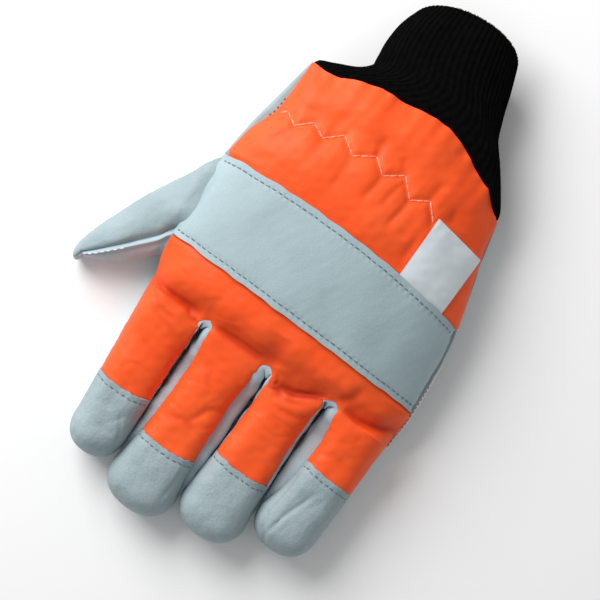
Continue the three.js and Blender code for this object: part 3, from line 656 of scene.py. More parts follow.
zigzag = fromPhoto([
    (292.5, -77), (298, -83), (312, -75), (326, -89), (342, -81.5), (358, -97), (376, -85), (396, -99),
    (412, -87), (430, -101), (448, -84), (465, -95.5), (480, -80), (497, -92), (513, -78), (527, -88),
])
backPad = {
    "step": 0.75,  # between grid points
    "wall": 2.0,
    "pad": 5.0,
    "quilt": {"depth": 1.1, "width": 1.9, "softDepth": 0.9, "softWidth": 6.0, "end": 23.0},
    "strapPress": 0.3,  # how far the padding is pressed in under the strap
    "capPress": 1.3,  # and under the caps
    "waves": (0.3, 16.0, 42.0),
    "wrinkles": (0.05, 4.0, 9.0),
    "folds": {"depth": 0.2, "narrow": 0.42},
    "gathers": {"height": 0.45, "reach": 8.0, "pitch": 6.0},
    # a low puff between the strap and the fingers' base creases, fading towards the hand's sides
    "puff": {"height": 1.7, "at": 13.0, "width": 6.5, "sides": (52.0, 67.0)},
    "fullShadeFold": 3.6,  # a fold of this depth gets the darkest painted shade
    "seamPuckers": {"height": 0.3, "sway": 0.1, "shortest": 3.0, "longest": 12.0},
    "underCap": 3.5,
    "softening": 120,
    "creases": [
        {"line": [(291, 129), (304, 131), (318, 132), (338, 132), (350, 132)], "width": 1.5, "depth": 1.7},
        {"line": [(290, 129), (318, 131), (352, 131)], "width": 4.2, "depth": 1.7},
        {"line": [(367, 133), (385, 132), (415, 131), (428, 131)], "width": 1.4, "depth": 1.3},
        {"line": [(364, 131), (385, 130), (415, 129), (434, 129)], "width": 4.0, "depth": 1.3},
        {"line": [(450, 143), (458, 143), (472, 139), (488, 129), (501, 123)], "width": 1.6, "depth": 1.8},
        {"line": [(449, 140), (472, 136), (488, 126), (502, 120)], "width": 4.0, "depth": 1.9},
        {"line": [(446, 134), (451, 139), (450, 144)], "width": 0.8, "depth": 0.9},
        {"line": [(446, 150), (456, 147), (466, 148)], "width": 1.0, "depth": 1.1},
        {"line": [(520, 122), (540, 121), (562, 115), (577, 107)], "width": 1.6, "depth": 1.6},
        {"line": [(520, 119), (540, 118), (562, 112), (577, 104)], "width": 4.0, "depth": 1.6},
        {"line": [(513, 118), (520, 106), (524, 94)], "width": 2.6, "depth": 1.2},
        {"line": [(436, 130), (431, 118), (430, 98)], "width": 6.8, "depth": 1.6},
        {"line": [(346, 138), (352, 141), (357, 137)], "width": 0.9, "depth": 0.6},
        {"line": [(336, 134), (346, 141), (357, 141)], "width": 0.9, "depth": 0.8},
        {"line": [(296, 140), (312, 150), (334, 152)], "width": 1.4, "depth": 0.6},
        {"line": [(392, -122), (396, -100)], "width": 2.0, "depth": 0.6},
        {"line": [(388, -114), (398, -97)], "width": 1.6, "depth": 0.4},
        {"line": [(418, -116), (428, -103)], "width": 1.9, "depth": 0.45},
        {"line": [(466, -118), (462, -97)], "width": 2.2, "depth": 0.6},
        {"line": [(491, -104), (496, -90)], "width": 1.9, "depth": 0.6},
        {"line": [(345, -112), (342, -84), (344, -62)], "width": 2.6, "depth": 0.35},
        {"line": [(413, -86), (409, -56)], "width": 1.9, "depth": 0.6},
        {"line": [(432, -96), (428, -62)], "width": 1.8, "depth": 0.6},
        {"line": [(449, -83), (444, -50)], "width": 1.7, "depth": 0.75},
        {"line": [(462, -88), (463, -48)], "width": 3.0, "depth": 0.4},
        {"line": [(376, -82), (378, -48)], "width": 2.0, "depth": 0.4},
        {"line": [(312, -72), (300, -48)], "width": 2.2, "depth": 0.5},
        {"line": [(326, -84), (314, -56)], "width": 2.0, "depth": 0.4},
        {"line": [(476, -60), (478, -30)], "width": 2.0, "depth": 0.6},
        {"line": [(300, 152), (330, 160), (352, 168)], "width": 1.6, "depth": 0.5},
        {"line": [(312, 182), (334, 192), (352, 196)], "width": 2.0, "depth": 0.5},
        {"line": [(372, 165), (392, 172), (404, 190)], "width": 2.0, "depth": 0.5},
        {"line": [(426, 196), (412, 204), (404, 226)], "width": 1.8, "depth": 0.7},
        {"line": [(380, 232), (398, 226), (420, 232)], "width": 2.0, "depth": 0.6},
        {"line": [(500, 150), (488, 157), (468, 160)], "width": 1.5, "depth": 0.7},
        {"line": [(452, 152), (468, 150), (484, 144)], "width": 1.3, "depth": 0.6},
        {"line": [(446, 176), (462, 170), (484, 176)], "width": 2.2, "depth": 0.4},
        {"line": [(526, 172), (540, 166), (560, 168)], "width": 2.0, "depth": 0.5},
    ],
}


def folds(x, y, seed, depth, narrow):
    # sharp little valleys where a wave crosses zero, only in the patches that a slower wave picks
    line = ripple(x, y, seed, 9.0, 26.0, 9)
    patch = smooth(ripple(x, y, seed + 1, 22.0, 60.0, 7), 0.0, 1.2)
    return -depth * patch * np.exp(-((line / narrow) ** 2))


def backRelief(x, y, height):
    # quilting dents and creases as bell curves of the distance to their lines, slow waves, small wrinkles,
    # ridged folds on the fingers, gathers along the wrist seam and a puff below the strap
    quilt = backPad["quilt"]
    d = distanceToLine(x, y, zigzag)[0]
    fade = 1 - smooth(x, quilt["end"] - 1, quilt["end"] + 1)
    relief = -quilt["depth"] * fade * np.exp(-((d / quilt["width"]) ** 2))
    relief = relief - quilt["softDepth"] * np.exp(-((d / quilt["softWidth"]) ** 2))
    relief = relief + creased(x, y, backPad["creases"])
    relief = relief + rippled(x, y, 3, backPad["waves"])
    relief = relief + rippled(x, y, 8, backPad["wrinkles"])
    fold = backPad["folds"]
    relief = relief + (1 - smooth(y, 8.0, 30.0)) * folds(x * 0.6, y, 13, fold["depth"], fold["narrow"])
    gathers = backPad["gathers"]
    nearWrist = np.exp(-np.maximum(hand["length"] - height, 0.0) / gathers["reach"])
    pleats = ripple(x, 0 * y, 21, gathers["pitch"], gathers["pitch"] * 2.2, 8)
    relief = relief + gathers["height"] * nearWrist * pleats
    puff = backPad["puff"]
    inward = 1 - smooth(np.abs(x), *puff["sides"])
    relief = relief + puff["height"] * inward * np.exp(-(((height - puff["at"]) / puff["width"]) ** 2))
    free = pastStrap(height)
    return relief * free - backPad["strapPress"] * (1 - free)


def capPlace(f, across):
    # where a cap's edge crosses a finger: a line with a slope and a sag, as a share of the straight part
    start = mix(finger["thumbEnd"][f], finger["littleEnd"][f], (across + 1) / 2)
    sag = finger["capSag"][f] * (0.6 - across ** 2)
    y = -finger["back"][f] - finger["capSlope"][f] * across - sag
    return (start - y) / (start + finger["length"][f] - finger["tip"])


perFinger, perGap = 43, 5
columns = makeColumns(perFinger, perGap)
heights = np.linspace(hand["length"], 0.0, int(hand["length"] / backPad["step"]) + 1)[:, None]
columnGrid = {key: value[None, :] for key, value in columns.items()}
handRows, handCols = len(heights), len(columns["share"])
fingerStart = [f * (perFinger + perGap) for f in range(4)]


def acrossFinger(f):
    # the places across one finger
    return columns["across"][fingerStart[f]:fingerStart[f] + perFinger]


def sewnNumbers(rows, f, grid, start):
    # point numbers of a finger's grid: its first row is the hand grid's last row, and the others start anew
    shared = (rows - 1) * handCols + fingerStart[f] + np.arange(perFinger)
    return np.concatenate([shared, start + np.arange((len(grid) - 1) * perFinger)])


def fingerRows(f, past, step):
    # rows along a finger, at even steps from the crotches to a little past its cap's edge
    across = acrossFinger(f)
    end = capPlace(f, across) + past
    count = int(np.ceil(finger["length"][f] * np.max(end) / step)) + 1
    t = np.linspace(0, 1, count)[:, None]
    return np.broadcast_to(across, (count, perFinger)), mix(0 * across[None], end[None], t)


def softenedKnuckles(grid, height):
    # points averaged with their four neighbours again and again, between the crotch row and the strap
    share = (smooth(height, 0.0, 6.0) * (1 - smooth(height, 16.0, 23.0)) * 0.5)[..., None]
    for turn in range(backPad["softening"]):
        around = grid.copy()
        around[1:-1, 1:-1] = (grid[:-2, 1:-1] + grid[2:, 1:-1] + grid[1:-1, :-2] + grid[1:-1, 2:]) / 4
        grid = mix(grid, around, share)
    return grid


def backSheet(wall, pad):
    # the hand's grid with each finger's grid sewn to its crotch row
    top = handPoint(columnGrid, heights, "back", wall, pad)
    top = softenedKnuckles(top, heights)
    points = [top.reshape(-1, 3)]
    quads = [gridFaces(handRows, handCols)]
    edge = [np.broadcast_to(np.abs(2 * columnGrid["share"] - 1), top.shape[:2]).ravel()]
    level = [np.broadcast_to(heights, top.shape[:2]).ravel()]
    hidden = [np.zeros(top.shape[:2]).ravel()]
    start = handRows * handCols
    for f in range(4):
        straightLength = finger["length"][f] - finger["tip"]
        across, place = fingerRows(f, backPad["underCap"] / straightLength, backPad["step"] * 1.2)
        grid = fingerPoint(f, across, place, "back", wall, pad)
        quad = gridFaces(*grid.shape[:2])
        numbers = sewnNumbers(handRows, f, grid, start)
        points.append(grid[1:].reshape(-1, 3))
        edge.append(np.abs(across[1:]).ravel())
        level.append(np.zeros(across[1:].size))
        past = (place[1:] - capPlace(f, across[1:])) * straightLength
        hidden.append(smooth(past, 0.0, 1.5).ravel())
        quads.append(numbers[quad])
        start += (len(grid) - 1) * perFinger
    return [np.concatenate(part) for part in (points, quads, edge, level, hidden)]


outer, quads, edge, level, hidden = backSheet(0.0, 0.0)
inner = backSheet(backPad["wall"], backPad["pad"])[0]
normals = vertexNormals(outer, quads)
normals = normals * np.sign(normals[:, 2].sum())
amount = backRelief(outer[:, 0], outer[:, 1], level)
# the thread puckers the fingers' edges: they sway and swell along their seams
pucker = backPad["seamPuckers"]
puckered = smooth(edge, 0.75, 1.0) * (level <= 0.0)
swaying = ripple(outer[:, 0] * 0.02, outer[:, 1], 31, pucker["shortest"], pucker["longest"], 8)
amount = amount + pucker["height"] * puckered * swaying
facing = smooth(normals[:, 2], 0.05, 0.6)
# above the strap, leather shows beside the padding at the thumb's side: height, how far the padding is in
sliver = np.array([
    [60.0, 0.0], [67.0, 0.2], [73.0, 0.5], [83.0, 1.1], [90.0, 3.0], [95.0, 4.2], [104.0, 3.3], [112.0, 1.9],
    [118.0, 0.8], [121.0, 0.3],
])
share = np.concatenate([np.broadcast_to(columns["share"], (handRows, handCols)).ravel(),
                        np.ones(len(outer) - handRows * handCols)])
inset = np.interp(level, sliver[:, 0], sliver[:, 1]) * (1 - smooth(share, 0.0, 0.14))
outer = outer + normals * (amount * facing * (1 - hidden) - backPad["capPress"] * hidden)[:, None]
outer[:, 0] += inset + pucker["sway"] * puckered * np.roll(swaying, perFinger)
inner[:, 0] += inset
backGrid = outer[:handRows * handCols].reshape(handRows, handCols, 3)
back = addWall("paddedBack", outer, inner, quads, orange, ["back_panel"], sharp=60.0)
# how deep in a fold each point lies, from 0 to 1: painted shade in the cloth's colour
paintedFoldShade = -creased(outer[:, 0], outer[:, 1], backPad["creases"]) * pastStrap(level) / backPad["fullShadeFold"]
paintedFoldShade = np.clip(paintedFoldShade, 0.0, 1.0) * (1 - hidden)
layer = back.data.attributes.new("paintedFoldShade", "FLOAT", "POINT")
layer.data.foreach_set("value", np.concatenate([paintedFoldShade, paintedFoldShade]).astype(np.float32))
print("padded back", len(outer), "points in its outer sheet")


def onBack(x, y):
    # the padded back's surface under places seen from above: heights and shares are corrected in a few steps
    height, place = y.copy(), 0.5 + x / knuckleWidth
    steps, ease = 12, 0.8
    for step in range(steps):
        cols = np.interp(place, columns["share"], np.arange(handCols))
        rows = (hand["length"] - height) / hand["length"] * (handRows - 1)
        found = sampleGrid(backGrid, rows, cols)
        height = np.clip(height + (y - found[:, 1]) * ease, 0.0, hand["length"])
        place = np.clip(place + (x - found[:, 0]) * ease / knuckleWidth, 0.0, 1.0)
    return found


# quilting thread along the zigzag
quilting = {"pitch": 2.8, "length": 3.7, "radius": 0.42, "seed": 5}


def upright(path):
    # upright normals for a row of thread that lies on top of the glove
    return np.broadcast_to(np.array([0.0, 0.0, 1.0]), path.shape)


zigzagShown = zigzag[zigzag[:, 0] < backPad["quilt"]["end"]]
rows = []
for a, b in zip(zigzagShown[:-1], zigzagShown[1:]):
    t = np.linspace(0.02, 0.98, 12)[:, None]
    flat = mix(a, b, t)
    path = onBack(flat[:, 0], flat[:, 1])
    rows.append((path, upright(path)))
addStitches("quiltingThread", rows, pinkThread, quilting)
print("quilting thread")

# strap over the knuckles
strap = {
    "top": 67.2,
    "bottom": 24.8,
    "topRise": 1.4,  # higher at the little finger's side
    "sideInset": 1.7,  # and drawn in there, so that the side leather shows
    "gap": 0.3,
    "wall": 1.6,
    "step": 1.0,
    "edgeWave": 0.15,
    "stitchInset": 2.7,
    "stitchDent": 0.3,
    "stitchWidth": 0.9,
    "waves": (0.16, 20.0, 55.0),
    "wrinkles": (0.02, 3.5, 8.0),
    "creases": [
        {"line": [(277, -8), (281, 20), (280, 50), (279, 74)], "width": 1.6, "depth": 0.9, "fade": 0.2},
        {"line": [(354, -6), (346, 30), (353, 68)], "width": 6.0, "depth": 0.35},
        {"line": [(432, 36), (452, 56), (480, 72)], "width": 5.0, "depth": 0.4},
        {"line": [(520, 0), (512, 34), (520, 66)], "width": 6.0, "depth": 0.3},
    ],
}
topstitch = {"pitch": 3.3, "length": 2.6, "radius": 0.34, "seed": 6}
strapRows = int((strap["top"] - strap["bottom"]) / strap["step"]) + 1
strapHeights = np.linspace(strap["top"], strap["bottom"], strapRows)[:, None]
nearEdge = np.abs(np.linspace(-1, 1, strapRows))[:, None] ** 6
waviness = strap["edgeWave"] * ripple(columnGrid["share"] * knuckleWidth, 0.0, 41, 5.0, 22.0)
strapHeights = strapHeights + nearEdge * waviness
fromBottom = np.linspace(1, 0, strapRows)[:, None]
strapHeights = strapHeights + strap["topRise"] * fromBottom * columnGrid["share"] ** 1.5
lift = strap["gap"] + strap["wall"]
strapOuter = handPoint(columnGrid, strapHeights, "back", -lift, -lift)
strapInner = handPoint(columnGrid, strapHeights, "back", -strap["gap"], -strap["gap"])
drawnIn = strap["sideInset"] * smooth(columnGrid["share"], 0.8, 1.0) * (0.25 + 0.75 * fromBottom)
strapOuter[..., 0] -= drawnIn
strapInner[..., 0] -= drawnIn


def strapRelief(x, y, height):
    # threads pull the leather down along both edges, in bell curves that deepen with each stitch, and soft
    # waves and a few creases cross it
    relief = rippled(x, y, 43, strap["waves"]) + rippled(x, y, 44, strap["wrinkles"])
    for stitchHeight in (strap["top"] - strap["stitchInset"], strap["bottom"] + strap["stitchInset"]):
        near = np.exp(-(((height - stitchHeight) / strap["stitchWidth"]) ** 2))
        relief = relief - strap["stitchDent"] * near * (1 + 0.5 * np.cos(2 * np.pi * x / topstitch["pitch"]))
    return relief + creased(x, y, strap["creases"])


strapQuads = gridFaces(strapRows, handCols)
strapNormals = vertexNormals(strapOuter, strapQuads)
strapNormals = strapNormals * np.sign(strapNormals[:, 2].sum())
relief = strapRelief(strapOuter[..., 0].ravel(), strapOuter[..., 1].ravel(), strapHeights.ravel())
outer = strapOuter.reshape(-1, 3) + strapNormals * relief[:, None]
strapGrid = outer.reshape(strapOuter.shape)
addWall("knuckleStrapLeather", outer, strapInner, strapQuads, strapLeather,
        ["knuckle_strap"], sharp=50.0)

rows = []
for inset in (strap["stitchInset"], strap["top"] - strap["bottom"] - strap["stitchInset"]):
    col = np.linspace(2.0, handCols - 3.0, 400)
    row = np.full(400, inset / (strap["top"] - strap["bottom"]) * (strapRows - 1))
    rows.append(rowOn(strapGrid, strapNormals, row, col))
addStitches("strapTopstitching", rows, greyThread, topstitch)
print("strap")

# leather caps over the fingertips
cap = {
    "lift": 1.1,  # the raw edge stands on the padding
    "sideLift": 0.35,
    "wall": 1.6,
    "step": 1.1,
    "tipRows": 22,
    "stitchInset": 2.6,
    "stitchDent": 0.35,
    "stitchWidth": 0.8,
    "edgeWave": 0.2,
    "waves": (0.16, 10.0, 24.0),
    "wrinkles": (0.05, 3.0, 7.0),
    "creases": {
        "index": [
            {"line": [(344, 258), (352, 268), (358, 280), (361, 294)], "width": 0.8, "depth": 0.45},
            {"line": [(352, 256), (344, 268), (336, 276)], "width": 0.9, "depth": 0.3},
            {"line": [(340, 282), (350, 279), (360, 281)], "width": 0.8, "depth": 0.3},
            {"line": [(322, 262), (336, 256), (352, 262)], "width": 1.6, "depth": 0.25},
            {"line": [(310, 282), (328, 284), (344, 280)], "width": 1.4, "depth": 0.2},
        ],
        "middle": [
            {"line": [(427, 262), (430, 285), (428, 306)], "width": 1.0, "depth": 0.5},
            {"line": [(384, 290), (400, 296), (416, 292)], "width": 2.4, "depth": 0.25},
        ],
        "ring": [
            {"line": [(456, 290), (470, 298), (486, 296)], "width": 2.4, "depth": 0.3},
        ],
        "little": [
            # the first one stands for the gusset's seam, which runs on to the fingertip
            {"line": [(522, 202), (521, 228), (520, 248), (526, 265), (538, 278)], "width": 0.8,
             "depth": 1.2, "fade": 0.12},
            {"line": [(549, 206), (543, 224), (537, 242), (532, 268)], "width": 1.0, "depth": 0.9},
            {"line": [(545, 206), (538, 226), (531, 250)], "width": 2.6, "depth": 0.5},
            {"line": [(560, 208), (551, 222)], "width": 1.6, "depth": 0.25},
        ],
    },
}
capRows = []
for f, name in enumerate(finger["names"]):
    across = acrossFinger(f)
    straightLength = finger["length"][f] - finger["tip"]
    first = capPlace(f, across)
    wavy = cap["edgeWave"] * ripple(across * finger["width"][f] / 2, 0.0, 50 + f, 2.0, 9.0) / straightLength
    straightCount = int(straightLength * (1 - first.min()) / cap["step"]) + 2
    t = np.linspace(0, 1, straightCount)[:, None]
    place = mix((first + wavy)[None], 1.0, t)
    tipPlace = 1 + np.sin(np.linspace(0, np.pi / 2, cap["tipRows"]))[1:, None] * np.ones(perFinger)
    place = np.concatenate([place, tipPlace])
    across = np.broadcast_to(across, place.shape)
    depth = (place - first) * straightLength
    rise = mix(cap["lift"], cap["sideLift"], smooth(np.abs(across), 0.8, 1.0))
    shape = fingerPoint(f, across, place, "back", -cap["sideLift"], 0.0)
    shape[..., 2] += (rise * arc(across)) * (1 - smooth(place, 1.5, 2.0))
    under = fingerPoint(f, across, place, "back", cap["wall"] - cap["sideLift"], cap["wall"] - cap["lift"])
    quads = gridFaces(*place.shape)
    normals = vertexNormals(shape, quads)
    normals = normals * np.sign(normals[:, 2].sum())
    x, y = shape[..., 0].ravel(), shape[..., 1].ravel()
    relief = creased(x, y, cap["creases"][name])
    relief = relief + rippled(x, y, 60 + f, cap["waves"]) + rippled(x, y, 70 + f, cap["wrinkles"])
    near = np.exp(-(((depth.ravel() - cap["stitchInset"]) / cap["stitchWidth"]) ** 2))
    relief = relief - cap["stitchDent"] * near
    outer = shape.reshape(-1, 3) + normals * (relief * smooth(normals[:, 2], 0.0, 0.5))[:, None]
    addWall(f"{name}Cap", outer, under, quads, capLeather, [f"cap_{name}"], sharp=50.0)
    grid = outer.reshape(shape.shape)
    col = np.linspace(1.2, perFinger - 2.2, 120)
    rowStep = straightLength * (1 - np.interp(col, np.arange(perFinger), first)) / (straightCount - 1)
    row = cap["stitchInset"] / rowStep
    capRows.append(rowOn(grid, normals, row, col))
capStitch = {"pitch": 3.0, "length": 2.3, "radius": 0.32, "seed": 7}
addStitches("capTopstitching", capRows, greyThread, capStitch)
print("caps")

# palm with the fronts of the fingers
palmLook = {"wall": 2.0, "step": 1.6, "tipRows": 16, "waves": (0.3, 9.0, 30.0), "wrinkles": (0.07, 3.0, 7.0)}


def palmSheet(wall):
    # the hand's grid under the palm, with each finger's front sewn to its crotch row
    rows = np.linspace(hand["length"], 0.0, int(hand["length"] / palmLook["step"]) + 1)[:, None]
    top = handPoint(columnGrid, rows, "palm", wall, wall)
    points = [top.reshape(-1, 3)]
    quads = [gridFaces(len(rows), handCols)]
    start = len(rows) * handCols
    for f in range(4):
        straightCount = int((finger["length"][f] - finger["tip"]) / palmLook["step"]) + 1
        tipPlaces = 1 + np.sin(np.linspace(0, np.pi / 2, palmLook["tipRows"]))[1:]
        place = np.concatenate([np.linspace(0, 1, straightCount), tipPlaces])[:, None]
        across, place = np.broadcast_arrays(acrossFinger(f), place)
        grid = fingerPoint(f, across, place, "palm", wall, wall)
        numbers = sewnNumbers(len(rows), f, grid, start)
        points.append(grid[1:].reshape(-1, 3))
        quads.append(numbers[gridFaces(len(grid), perFinger)])
        start += (len(grid) - 1) * perFinger
    return np.concatenate(points), np.concatenate(quads)


outer, quads = palmSheet(0.0)
inner = palmSheet(palmLook["wall"])[0]
normals = vertexNormals(outer, quads)
normals = normals * -np.sign(normals[:, 2].sum())
# waves only go inwards, and none stand where the floor presses the palm flat
waves = rippled(outer[:, 0], outer[:, 1], 81, palmLook["waves"])
waves = waves + rippled(outer[:, 0], outer[:, 1], 82, palmLook["wrinkles"])
outer = outer + normals * np.minimum(waves, 0.0)[:, None] * smooth(outer[:, 2], 0.0, 3.0)[:, None]
addWall("palmLeather", outer, inner, quads, palmLeather, ["palm"], sharp=50.0)

# leather that shows beside the padding, from the strap to the wrist: a low rounded ledge under its edge
ledge = {
    "rows": 60,
    "cols": 14,
    "reach": 3.0,
    "rise": 1.6,
    "wall": 1.2,
    "out": 0.15,
    "down": 0.8,
    "tuck": 0.6,
    "waves": (0.12, 6.0, 16.0),
    "stitched": (94.0, 107.0),  # dark red stitches hold it to the padding's edge for y between these
}
t = np.linspace(0, 1, ledge["rows"])[:, None]
q = np.linspace(0, 1, ledge["cols"])[None, :]
edgeHeight = mix(strap["top"] - 2, hand["length"] - 1.0, t) + 0 * q
outer = handPoint(oneColumn(0, -1.0, 0.0, ledge["cols"]), edgeHeight, "back")
bare = np.interp(edgeHeight, sliver[:, 0], sliver[:, 1])
outer[..., 0] += -ledge["out"] + (bare + ledge["reach"]) * q
outer[..., 2] += -ledge["down"] + ledge["rise"] * np.sqrt(1 - (1 - np.minimum(q * 3, 1.0)) ** 2)
outer[..., 2] += rippled(outer[..., 0], outer[..., 1], 88, ledge["waves"])
inner = outer + np.array([ledge["tuck"], 0.0, -ledge["wall"]])
quads = gridFaces(ledge["rows"], ledge["cols"])
addWall("sideLeather", outer, inner, quads, palmLeather, [])

# narrow welt in the seam on the little finger's side, below the strap's top edge: a round cord of leather
welt = {
    "top": 54.0,
    "radius": 0.6,
    "out": 0.5,
    "down": 0.4,
    "count": 90,
    "around": 10,
    "waves": (0.15, 6.0, 14.0),
    "stitched": (4.0, 40.0),  # its own stitches show for y between these
}
t = np.linspace(0, 1, welt["count"])[:, None]
weltLine = handPoint(oneColumn(3, 1.0, 1.0), mix(welt["top"], 0.0, t), "palm")[:, 0]
weltLine = weltLine + np.array([welt["out"], 0.0, -welt["down"]])
weltLine[:, 2] += rippled(weltLine[:, 1], 0.0, 87, welt["waves"])
tangent = unit(np.gradient(weltLine, axis=0))
side = unit(np.cross(tangent, np.array([0.0, 0.0, 1.0])))
over = np.cross(side, tangent)
turn = np.linspace(0, 2 * np.pi, welt["around"], endpoint=False)[None, :, None]
thick = welt["radius"] * np.sqrt(np.clip(1 - np.abs(2 * t - 1) ** 12, 0.02, 1))[:, :, None]
tube = weltLine[:, None] + thick * (side[:, None] * np.cos(turn) + over[:, None] * np.sin(turn))
firstEnd = np.arange(welt["around"])[::-1]
lastEnd = np.arange(welt["around"]) + (welt["count"] - 1) * welt["around"]
ends = [firstEnd.tolist(), lastEnd.tolist()]
sides = gridFaces(welt["count"], welt["around"], wrap=True)
tubePoints = tube.reshape(-1, 3)
if facesInwards(tubePoints, sides):
    sides, ends = sides[:, ::-1], [end[::-1] for end in ends]
piece = addMesh("sideWelt", tubePoints, sides.tolist() + ends, weltLeather)
weltStitch = {"pitch": 2.2, "length": 1.3, "radius": 0.24, "seed": 8}
seams = (
    (weltLine + np.array([0.0, 0.0, welt["radius"] * 0.8]), welt["stitched"]),
    (backGrid[:, 0] + np.array([-0.35, 0.0, 1.15]), ledge["stitched"]),
)
rows = []
for path, (low, high) in seams:
    path = path[(path[:, 1] > low) & (path[:, 1] < high)]
    rows.append((path, upright(path)))
addStitches("sideStitching", rows, redThread, weltStitch)
print("palm and sides")

# fourchettes between the fingers
gusset = {
    "wall": 2.0,
    "step": 1.2,
    "levels": 15,
    "archPoints": 13,
    "roll": 5.5,
    "rise": 1.9,
    "waves": (0.22, 6.0, 16.0),
}


def fourchettePath(f):
    # places along the fingers and weights over the crotch: up one finger, round the crotch, down the next
    count = int((finger["length"][f] - finger["tip"]) / gusset["step"])
    other = int((finger["length"][f + 1] - finger["tip"]) / gusset["step"])
    arch = gusset["archPoints"]
    up = np.linspace(1, 0, count)
    down = np.linspace(0, 1, other)
    weights = np.concatenate([np.zeros(count), np.linspace(0, 1, arch + 2)[1:-1], np.ones(other)])
    places = np.concatenate([up, np.zeros(arch), down])
    return places, weights


def fourchetteSheet(f, wall):
    # between the palm's edge and the back's edge, rising fast so that the bulge into the gap is near the
    # top, and arched round the crotch
    places, weights = (v[:, None] for v in fourchettePath(f))
    level = np.linspace(0, 1, gusset["levels"])[None, :]
    bulge = 4 * level * (1 - level)
    sides = []
    first = (f, 1.0, finger["littleBulge"][f])
    second = (f + 1, -1.0, finger["thumbBulge"][f + 1])
    for g, across, reach in (first, second):
        low = fingerPoint(g, across + 0 * places, places, "palm", wall, wall)
        high = fingerPoint(g, across + 0 * places, places, "back", wall, wall)
        low[..., 2] += hand["seamGap"]
        high[..., 2] -= hand["seamGap"]
        p = mix(low, high, (1 - (1 - level) ** gusset["rise"])[..., None])
        opened = mix(0.7, 1.0, smooth(places, 0.0, 0.25)) * (1 - places ** finger["closing"])
        p[..., 0] += across * reach * opened * bulge
        sides.append(p)
    points = mix(sides[0], sides[1], weights[..., None])
    turn = np.sin(np.pi * weights)
    points[..., 1] += (hand["crotchArch"] + wall) * turn - gusset["roll"] * bulge * turn
    return points


fourchettes = (
    ("fourchetteIndexMiddle", "fourchette_index_middle"),
    ("fourchetteMiddleRing", "fourchette_middle_ring"),
    ("fourchetteRingLittle", "fourchette_ring_little"),
)
for f, (name, node) in enumerate(fourchettes):
    shape = fourchetteSheet(f, 0.0)
    under = fourchetteSheet(f, gusset["wall"])
    quads = gridFaces(*shape.shape[:2])
    normals = vertexNormals(shape, quads)
    y, z = shape[..., 1].ravel(), shape[..., 2].ravel()
    waves = rippled(y, z * 1.5, 90 + f, gusset["waves"])
    outer = shape.reshape(-1, 3) + normals * waves[:, None]
    addWall(name, outer, under, quads, edgeLeather, [node], sharp=50.0)
print("fourchettes")

# thumb, two panels that meet at a raised seam
thumb = {
    "reach": 30.0,
    "length": 76.0,
    "root": 67.0,
    "height": 25.0,
    "seamAngle": 121.0,
    "rootRise": 6.5,  # how much higher the leather is where it joins the strap
    "wall": 2.0,
    "floor": 0.3,
    "tip": (0.95, 1.03, 0.36),
    "rows": 56,
    "tipRows": 12,
    "around": 64,
    # angle from the seam, width and height of each roll along it
    "backLip": [(0.0, 0.13, -1.3), (0.35, 0.2, 0.25)],
    "frontLip": [(0.09, 0.075, 1.0), (0.0, 0.04, -0.6), (0.26, 0.1, -0.35)],
    "lipEnd": (47.0, 60.0),  # the rows between which the rolls fade out at the tip
    "waves": (0.2, 12.0, 30.0),
    "wrinkles": (0.05, 3.0, 7.0),
}
# row, outer out, outer down, inner out, inner down, top
thumbTable = np.array([
    [0, -0.54, -0.07, -0.8, 0.57, 1.0],
    [1, 0.0, 0.0, -0.17, 0.69, 1.0],
    [2, 0.27, 0.22, 0.0, 0.76, 1.0],
    [3, 0.54, 0.41, 0.21, 0.84, 0.98],
    [4, 0.77, 0.63, 0.44, 0.91, 0.92],
    [5, 0.92, 0.8, 0.66, 0.97, 0.8],
    [6, 1.0, 0.92, 0.83, 1.0, 0.62],
], float)
thumbSide = -knuckleWidth / 2 * readTable(handTable, 1, np.array([1 - thumb["root"] / hand["length"]]))[0]


